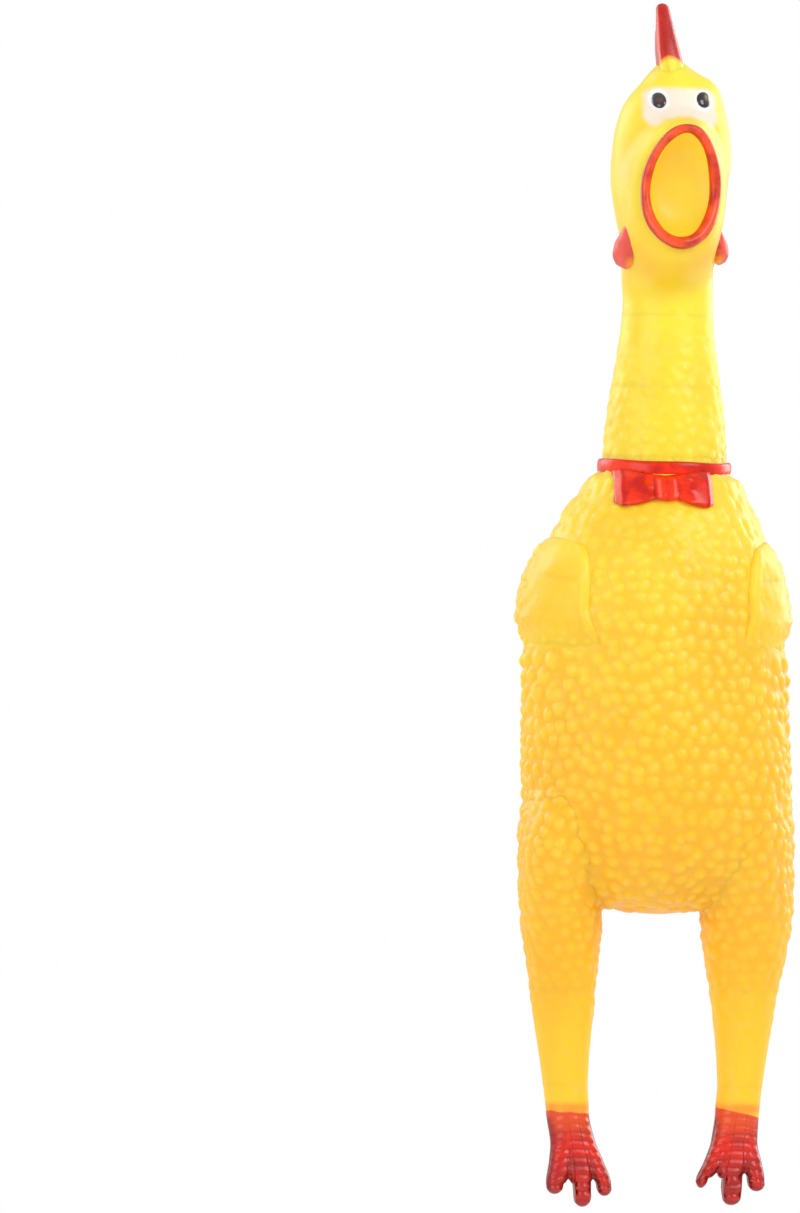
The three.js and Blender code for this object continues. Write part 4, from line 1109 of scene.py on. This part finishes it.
def make_comb():
    """The comb: a fin, flat from side to side, with one tall lobe and a lower one behind it, and round
    edges. Its foot runs down into the crown, and the red fades out above it."""
    rows, columns = 120, 190
    from_front = 0.5 - 0.5 * np.cos(np.linspace(0.02, math.pi - 0.02, columns))
    y_line = COMB_FRONT + (COMB_BACK - COMB_FRONT) * from_front
    top_line = through(COMB_TOP, y_line) + CROWN
    foot_line = np.minimum(crown_at(0, y_line) - 2.4, top_line - 0.5)
    up = np.linspace(1, 0, rows)[:, None]
    y = y_line + 0 * up
    z = foot_line + (top_line - foot_line) * up
    below = [np.linspace(150, top_line[end], 30) for end in (0, -1)]
    gap = edge_gap(y, z, np.concatenate([y_line, np.full(30, y_line[0]), np.full(30, y_line[-1])]),
                   np.concatenate([top_line, *below]))
    half = pillow(gap, through(COMB_HALF, z))
    middle = comb_axis(y, z)
    left = np.stack([middle + half, y, z], -1)
    right = np.stack([middle - half, y, z], -1)
    points = np.concatenate([left, right[:, ::-1]], 1)
    both = np.concatenate([gap, gap[:, ::-1]], 1)
    level = points[..., 2]
    bare = 1 - ease((level - 182.4 - 2.4 * np.exp(-both / 2.0)) / 4.4)
    middle_part = ease((both - 5) / 3)
    # painted shade along the comb's edges and, fainter, over its middle; painted highlight: pink on its flanks
    marks = {"tone": 0.03, "red": 1 - bare, "ember": 0.5 * ease((both - 1.0) / 1.4) * (1 - middle_part),
             "deep": (1 - bare) * np.clip(0.45 * bell(both, 0, 1.1) + 0.12 * middle_part, 0, 1),
             "paint_blush_and_highlight": 0.6 * ease((both - 1.2) / 1.2) * (1 - middle_part),
             "orange": 0.8 * bell(bare, 0.55, 0.3)}
    piece = grid_mesh("comb_skin", points, material=VINYL, marks=marks)
    weld(piece)
    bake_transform(piece)
    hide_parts("comb")


def make_collar():
    """The collar: a painted band with a rounded edge, which dips a little at the front."""
    around, edge = grid(turns(260), turns(36))
    half_tall = (COLLAR_HIGH[2] - COLLAR_LOW[2]) / 2 + 0.1
    half_tall = half_tall - 0.25 * np.sin(around) + 0.4 * np.cos(around / 2) ** 8
    dip = 1.25 * np.cos(around / 2) ** 4
    level = (COLLAR_HIGH[2] + COLLAR_LOW[2]) / 2 + 0.25 - dip + 0.12 * np.sin(5 * around + 1)
    squared = filled(np.sin(edge), 0.7)
    z = level + half_tall * squared
    out = 0.25 + 0.95 * filled(np.cos(edge), 0.8)
    across, deep, x, y = trunk(COLLAR_HIGH[2] - 1.0)
    points = np.stack([x + (across + out) * np.sin(around), y - (deep + out) * np.cos(around), z], -1)
    # darker along the band's top and bottom edges; painted highlight: paler outer face at the sides
    marks = {"deep": np.clip(np.abs(squared) ** 4, 0, 1) * 0.9,
             "paint_blush_and_highlight": 0.5 * ease(np.cos(edge)) * np.sin(around) ** 2}
    piece = grid_mesh("collar_skin", points, material=GLOSS_RED, marks=marks)
    bridge(piece)
    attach(piece, "torso")
    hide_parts("collar_band")


BOW_X = -3.9
BOW_Z = 61.3
BOW_HALF = 14.2
BOW_TURN = math.radians(-8)


def make_bow():
    """The bow tie: two pinched loops with flat ends and radiating folds, and a square knot over them."""
    s, t = grid(np.linspace(-1, 1, 150), turns(72))
    end = ease((np.abs(s) - 0.88) / 0.12)
    open_up = through(((0, 3.0), (0.2, 3.2), (0.45, 4.3), (0.8, 5.3), (1, 5.3)), np.abs(s))
    tall = open_up * (1 - 0.12 * end)
    thick = through(((0, 1.3), (0.25, 1.7), (0.55, 2.6), (0.86, 2.5), (1, 1.1)), np.abs(s))
    up = filled(np.sin(t), 0.55)
    out = filled(np.cos(t), 0.6)
    fold = 0.5 * np.cos(up * 7.0 + 0.6 * np.sign(s)) * bell(np.abs(s), 0.4, 0.17)
    y = -thick * out - fold * (out > 0)
    x = s * BOW_HALF
    z = np.where(up > 0, np.maximum(tall, 3.7 + 1.4 * np.abs(s)), tall) * up
    x = x + 0.16 * np.maximum(z, 0) * (s < 0)
    # painted shade at the fold before each flat end and along the top and bottom edges; painted highlight on
    # the flat ends
    marks = {"deep": np.clip(0.8 * bell(np.abs(s), 0.86, 0.035) + 0.55 * np.abs(up) ** 6, 0, 1),
             "paint_blush_and_highlight": np.clip(1.0 * ease((np.abs(s) - 0.885) / 0.03) * (out > 0), 0, 1)}
    loops = grid_mesh("bow_loops", bow_place(x, y, z), material=GLOSS_RED, marks=marks)
    seal(loops)
    v, u = grid(np.linspace(-math.pi / 2, math.pi / 2, 40), turns(72))
    girth = np.abs(np.cos(v)) ** 0.5
    kx = 3.9 * girth * filled(np.cos(u), 0.5)
    ky = 2.7 * girth * filled(np.sin(u), 0.5)
    kz = 3.5 * filled(np.sin(v), 0.5)
    pinch = (0.35 * bell(kx, 0, 0.9) + 0.3 * bell(np.abs(kx), 2.6, 0.5)) * (ky < 0)
    # painted shade at the knot's sides and middle; painted highlight as two streaks beside its middle
    marks = {"deep": 0.9 * bell(np.abs(kx), 3.5, 0.4) + 0.4 * bell(kx, 0, 0.8),
             "paint_blush_and_highlight": bell(np.abs(kx), 2.3, 0.5) * (ky < 0) * (np.abs(kz) < 2.6)}
    knot_points = bow_place(kx, ky + pinch - 0.2, kz)
    knot = grid_mesh("bow_knot", knot_points, pole=True, material=GLOSS_RED, marks=marks)
    weld(knot)
    whole = join("bow_tie_skin", [loops, knot])
    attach(whole, "torso")
    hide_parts("bow_tie")


def bow_place(x, y, z):
    """From the bow's own flat place to its seat: turned a little, and laid on the slope of the chest."""
    px = BOW_X + x * math.cos(BOW_TURN) + y * math.sin(BOW_TURN)
    level = BOW_Z + z
    across, deep, cx, cy = trunk(np.clip(level, 50, 69.5))
    round_chest = np.sqrt(np.clip(1 - ((px - cx) / (across + 1)) ** 2, 0.2, 1))
    return np.stack([px, cy - deep * round_chest + y + 0.3, level], -1)


def make_thigh(side):
    """The thigh's skin, from its dome inside the torso to the knee's seam."""
    turn = np.linspace(0, 1, 190)
    heights = THIGH_TOP + (SEAM_KNEE - THIGH_TOP) * turn ** 1.15
    step = heights[-1] - heights[-2]
    heights = np.concatenate([heights, [heights[-1] + step]])
    z, angle = grid(heights, turns(LEG_COLUMNS))
    points, high = leg_surface(z, angle, side)
    normal = outward(points)
    normal[0] = (0, 0, 1)
    low = (1 - np.clip(high * 3, 0, 1)) * leg_relief(z)
    # painted highlight on the pebble tops and painted shade between them
    marks = {"tone": tone(z), "pebble": 0.65 * high, "valley_shade": 0.25 * low}
    marks = {key: value[:-1] for key, value in marks.items()}
    node = f"thigh_{SIDE_NAME[side]}"
    piece = grid_mesh(f"{node}_skin", points[:-1], material=VINYL, marks=marks, normals=normal[:-1])
    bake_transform(piece)
    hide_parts(node)


def leg_relief(z):
    """Pebble strength down the leg: full on the thigh, none below the knee."""
    return through(((-106, 0), (-97, 0.15), (-88, 0.35), (-78, 0.6), (-62, 0.8), (-30, 1)), z)


def leg_points(z, angle, side):
    """The whole leg: the thigh's sections down to the knee, round ones below it."""
    radius = shank(z)
    x = leg_axis(z, side) + radius * np.sin(angle)
    round_leg = np.stack([x, -radius * np.cos(angle), z + 0 * angle], -1)
    share = ease((z - KNEE[2]) / 8)[..., None]
    return round_leg * (1 - share) + thigh_points(np.maximum(z, KNEE[2]), angle, side) * share


def leg_section(side):
    """The leg's sections in the form that the pebble rows need."""
    def section(z):
        z = np.asarray(z, float)
        wide = np.where(z > KNEE[2], through(THIGH_WIDE[side], z), shank(z))
        deep = np.where(z > KNEE[2], (through(THIGH_FRONT, z) + through(THIGH_BACK, z)) / 2, shank(z))
        return wide, deep, leg_axis(z, side), 0 * z
    return section


def leg_centres(side):
    """Pebble centres of one leg, laid on its true skin."""
    rough = sow(-28, -104, leg_section(side), 4.3, 4 + side)
    z = rough[:, 2]
    angle = np.arctan2((rough[:, 0] - leg_axis(z, side)) / np.maximum(through(THIGH_WIDE[side], z), 1),
                       -rough[:, 1] / np.maximum(leg_section(side)(z)[1], 1))
    return leg_points(z, angle, side)


LEG_CENTRES = {side: leg_centres(side) for side in (-1, 1)}


def leg_surface(z, angle, side):
    """The leg with its pebbles, swollen a little where it meets the torso."""
    points = leg_points(z, angle, side)
    normal = outward(points)
    high = pebbles(points, LEG_CENTRES[side]) * leg_relief(z)
    swell = fillet(off_trunk(points)) * ease((z + 70) / 8)
    return points + normal * (high * PEBBLE_RISE * 0.9 + swell)[..., None], high


def make_shank(side):
    """The shank's skin, from the knee's seam to the ankle's."""
    heights = np.linspace(SEAM_KNEE, SEAM_ANKLE, 64)
    step = heights[0] - heights[1]
    heights = np.concatenate([[heights[0] + step], heights, [heights[-1] - step]])
    z, angle = grid(heights, turns(LEG_COLUMNS))
    points, high = leg_surface(z, angle, side)
    normal = outward(points)
    # painted highlight on the pebble tops
    marks = {"tone": tone(z), "pebble": 0.65 * high}
    marks = {key: value[1:-1] for key, value in marks.items()}
    which = SIDE_NAME[side]
    piece = grid_mesh(f"shank_{which}_skin", points[1:-1], material=VINYL, marks=marks, normals=normal[1:-1])
    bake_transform(piece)
    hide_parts(f"shank_{which}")


# toe: its middle and half width as shares of the foot's half width, and its reach below the web
TOES = {-1: ((-0.74, 0.26, 2.8), (0.1, 0.26, 6.4), (0.77, 0.23, 3.2)),
        1: ((-0.84, 0.16, 2.8), (0.04, 0.27, 7.7), (0.75, 0.25, 3.6))}
FOOT_WIDE = {-1: ((-148, 9.4), (-144, 9.7), (-140, 9.5), (-134, 7.9), (-128, 6.5), (-121, 6.2),
                  (-112, 6.62)),
             1: ((-148, 10.3), (-143, 10.4), (-139, 10.1), (-134, 8.5), (-128, 6.75), (-121, 6.4),
                 (-112, 6.62))}
FOOT_DEEP = ((-148, 2.6), (-140, 2.9), (-134, 3.4), (-128, 4.4), (-122, 5.6), (-112, 6.62))
FOOT_SHIFT = {-1: ((-148, 3.4), (-140, 3.2), (-134, 2.7), (-128, 1.8), (-121, 0.5), (-112, 0)),
              1: ((-148, -3.2), (-140, -3.1), (-134, -2.1), (-128, -1.4), (-121, -0.5), (-112, 0))}
WEB_Z = {-1: -140.9, 1: -138.7}
PAINT_LINE = {-1: (-120.0, -0.3), 1: (-119.6, -1.4)}


def make_foot(side):
    """The foot: its front and back faces lie a round-edged half thickness either side of a flat shape
    that widens from the ankle and ends in three toes with webs between them."""
    columns, rows = 300, 150
    angle = turns(columns)
    s = np.sin(angle)
    end = WEB_Z[side] + 0 * s
    for middle, half, reach in TOES[side]:
        q = np.clip(np.abs(s - middle) / half, 0, 1)
        round_tip = min(2.6, reach)
        lobe = reach - round_tip + round_tip * np.sqrt(1 - q ** 2)
        end = np.minimum(end, WEB_Z[side] - lobe * ease((1 - q) * 9))
    for first, second in zip(TOES[side][:-1], TOES[side][1:]):
        split = (first[0] + first[1] + second[0] - second[1]) / 2
        end = end + 1.5 * bell(s, split, 0.09)
    u = np.linspace(0, 1, rows)[:, None]
    z = SEAM_ANKLE + (end - SEAM_ANKLE) * u
    wide = through(FOOT_WIDE[side], z)
    wide = wide + (shank(z) - wide) * ease((z - SEAM_ANKLE + 5) / 5)
    centre = leg_axis(z, side) + through(FOOT_SHIFT[side], z)
    x = centre + wide * s
    sides = np.concatenate([x[:, np.argmax(s)], x[:, np.argmin(s)], x[-1]])
    side_z = np.concatenate([z[:, np.argmax(s)], z[:, np.argmin(s)], z[-1]])
    gap = edge_gap(x, z, sides, side_z)
    deep = through(FOOT_DEEP, z)
    deep = deep + (shank(z) - deep) * ease((z - SEAM_ANKLE + 5) / 5)
    half = pillow(gap, deep)
    round_part = ease((z - SEAM_ANKLE + 8) / 8)
    half = half * (1 - round_part) + deep * np.abs(np.cos(angle)) * round_part
    groove = 0 * z
    for (first, second) in zip(TOES[side][:-1], TOES[side][1:]):
        split = (first[0] + first[1] + second[0] - second[1]) / 2
        groove = groove + bell(s, split, 0.1) * ease((-128 - z) / 12)
    half = half - 0.9 * groove * ease(gap / 1.5)
    front = np.cos(angle) > 0
    scute = np.sin((z + 1.2 * s ** 2) * 2 * math.pi / 2.45)
    ridge = 0.13 * scute * ease((-118 - z) / 3) * ease(gap / 1.5) * np.where(front, 1, 0.5)
    half = half + ridge * (half > 0.8)
    forward = -6.0 * ease((ANKLE[2] - z) / 27) ** 1.1
    y = forward - np.where(front, half, -half)
    points = np.stack([x, y, z], -1)
    line, slope = PAINT_LINE[side]
    paint = (line + slope * s - z) / 2.2 + 0.5
    # painted shade at the foot's edges, in the grooves between the toes and in the troughs of the scales; it
    # is also darker towards the toes
    hollow = 0.2 * ease((-0.2 - scute) * 2) * ease((-122 - z) / 4)
    foot_painted_shade = np.clip(0.85 * bell(gap, 0, 0.9) * ease((-120 - z) / 3) + 0.6 * groove + hollow
                        + 0.35 * ease((-129 - z) / 12), 0, 1)
    ember = ease((z + 129) / 8) * (1 - 0.5 * bell(gap, 0, 1.2))
    marks = {"tone": tone(z), "red": np.clip(paint, 0, 1), "orange": 0.75 * bell(z - line, 1.2, 1.9),
             "deep": foot_painted_shade, "ember": ember}
    which = SIDE_NAME[side]
    piece = grid_mesh(f"foot_{which}_skin", points, pole=True, material=VINYL, marks=marks)
    weld(piece)
    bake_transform(piece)
    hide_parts(f"foot_{which}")


def make_tail():
    """The tail: a stub of three blunt feathers on the back of the rump."""
    v, u = grid(np.linspace(0, math.pi / 2, 60), turns(120))
    reach = np.cos(v)
    girth = np.sin(v) ** 0.8
    lobes = 1 + 0.13 * np.cos(3 * u + math.pi / 2) * girth
    middle = (TAIL_LOW + TAIL_HIGH) / 2
    x = 8.2 * girth * lobes * np.cos(u)
    z = middle[2] + 6.2 * girth * lobes * np.sin(u) + 3.2 * reach ** 2
    y = TAIL_LOW[1] - 6 + (TAIL_HIGH[1] - TAIL_LOW[1] + 6) * reach
    groove = 0.5 * bell(np.abs(x), 2.8, 0.8) * ease(reach * 2)
    points = np.stack([x, y - groove, z], -1)[::-1]
    z = points[..., 2]
    # painted highlight: paler towards the tip; painted shade in the grooves
    marks = {"tone": tone(z), "pebble": (0.5 * reach)[::-1], "valley_shade": groove[::-1]}
    piece = grid_mesh("tail_skin", points, pole=True, material=VINYL, marks=marks)
    turn_towards(piece, (0, 1, 0))
    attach(piece, "torso")
    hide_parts("tail")


make_torso()
neck_skin("neck_lower", SEAM_NECK, NECK_FOOT - 2.5)
neck_skin("neck_upper", SEAM_HEAD, SEAM_NECK)
make_head()
make_lip()
make_lining()
make_comb()
make_collar()
make_bow()
make_tail()
for figure_side in (-1, 1):
    make_wing(figure_side)
    make_eye(figure_side)
    make_wattle(figure_side)
    make_thigh(figure_side)
    make_shank(figure_side)
    make_foot(figure_side)


# ---- the squeaker keeps its CAD shapes


def dress(node, material):
    """Gives a CAD node its material."""
    mesh = frame["nodes"][node].data
    mesh.materials.clear()
    mesh.materials.append(material)


SQUEAKER_WHITE = moulded("squeaker white plastic", tint(238, 238, 232), tint(214, 214, 206), 0.34)
SQUEAKER_RED = moulded("squeaker red plastic", tint(206, 40, 30), tint(166, 24, 20), 0.3)
REED_FILM = moulded("reed film", tint(222, 226, 224), tint(196, 204, 206), 0.14, 300)
for node_name, finish in (("squeaker_barrel", SQUEAKER_WHITE), ("squeaker_cap", SQUEAKER_WHITE),
                          ("reed_carrier", SQUEAKER_RED), ("reed_clip", SQUEAKER_RED), ("reed", REED_FILM)):
    dress(node_name, finish)


# ---- floor, light and camera


FLOOR_RADIUS = 1300
FLOOR_LEVEL = -350


def make_floor():
    """A plain pale floor well below the feet."""
    around = turns(96)
    share = np.array([1, 0.5, 0.0])[:, None]
    x = FLOOR_RADIUS * share * np.cos(around)
    y = FLOOR_RADIUS * share * np.sin(around)
    points = np.stack([x, y, FLOOR_LEVEL + 0 * x], -1)
    material, tree, shader = nodes_of("pale floor")
    clouds = ranged(tree, noise(tree, own_place(tree), 4, 2), 0.3, 0.7)
    base = mixed(tree, clouds, (0.86, 0.86, 0.85), (0.9, 0.9, 0.89))
    tree.links.new(base, shader.inputs["Base Color"])
    shader.inputs["Roughness"].default_value = 0.8
    floor = grid_mesh("floor", points, pole=True, material=material)
    turn_towards(floor, (0, 0, 1))


def make_lamp(name, place, size, power, colour=(1, 1, 1)):
    """A soft square lamp that looks at the middle of the figure."""
    data = bpy.data.lights.new(name, "AREA")
    data.shape = "SQUARE"
    data.size = size
    data.energy = power
    data.color = colour
    lamp = bpy.data.objects.new(name, data)
    lamp.location = place
    lamp.rotation_euler = (-Vector(place)).to_track_quat("-Z", "Y").to_euler()
    bpy.context.scene.collection.objects.link(lamp)


def make_world(ambient, backdrop):
    """Even light from all sides, with a plain white backdrop where the camera sees past the figure."""
    world = bpy.data.worlds.new("studio")
    world.use_nodes = True
    tree = world.node_tree
    tree.nodes.clear()
    out = tree.nodes.new("ShaderNodeOutputWorld")
    mix = tree.nodes.new("ShaderNodeMixShader")
    path = tree.nodes.new("ShaderNodeLightPath")
    tree.links.new(path.outputs["Is Camera Ray"], mix.inputs[0])
    for socket, strength in ((1, ambient), (2, backdrop)):
        light = tree.nodes.new("ShaderNodeBackground")
        light.inputs["Color"].default_value = (1, 1, 1, 1)
        light.inputs["Strength"].default_value = strength
        tree.links.new(light.outputs[0], mix.inputs[socket])
    tree.links.new(mix.outputs[0], out.inputs["Surface"])
    bpy.context.scene.world = world


CAMERA_DISTANCE = 2.4
CAMERA_TURN = math.radians(9)
CAMERA_ROLL = math.radians(1.26)
FRAME_TALL = 353.0
FRAME_LEFT, FRAME_UP = 75.4, 27.2


def make_camera():
    """A long lens from the front, turned so that the figure faces a little to its own left, and rolled so
    that it leans. The figure stands at the right of the frame."""
    look = Vector((math.sin(CAMERA_TURN), math.cos(CAMERA_TURN), 0))
    level = Vector((math.cos(CAMERA_TURN), -math.sin(CAMERA_TURN), 0))
    upright = Vector((0, 0, 1))
    right = level * math.cos(CAMERA_ROLL) + upright * math.sin(CAMERA_ROLL)
    up = upright * math.cos(CAMERA_ROLL) - level * math.sin(CAMERA_ROLL)
    aim = (up * FRAME_UP - right * FRAME_LEFT) * MM
    data = bpy.data.cameras.new("camera")
    data.sensor_width = 36
    data.lens = 36 * CAMERA_DISTANCE / (FRAME_TALL * MM)
    data.clip_start, data.clip_end = 0.05, 30
    camera = bpy.data.objects.new("camera", data)
    turned = Matrix((right, up, -look)).transposed()
    camera.matrix_world = Matrix.Translation(aim - look * CAMERA_DISTANCE) @ turned.to_4x4()
    bpy.context.scene.collection.objects.link(camera)
    bpy.context.scene.camera = camera


make_floor()
make_world(0.62, 1.0)
make_lamp("key", (0.9, -1.2, 1.1), 1.0, 15, (1, 0.99, 0.97))
make_lamp("fill", (-1.3, -0.9, 0.4), 1.0, 7)
make_lamp("back_left", (-0.9, 0.9, 0.5), 0.8, 5)
make_lamp("back_right", (1.1, 0.8, 0.4), 0.8, 6)
make_camera()
bpy.context.scene.view_settings.view_transform = "Standard"
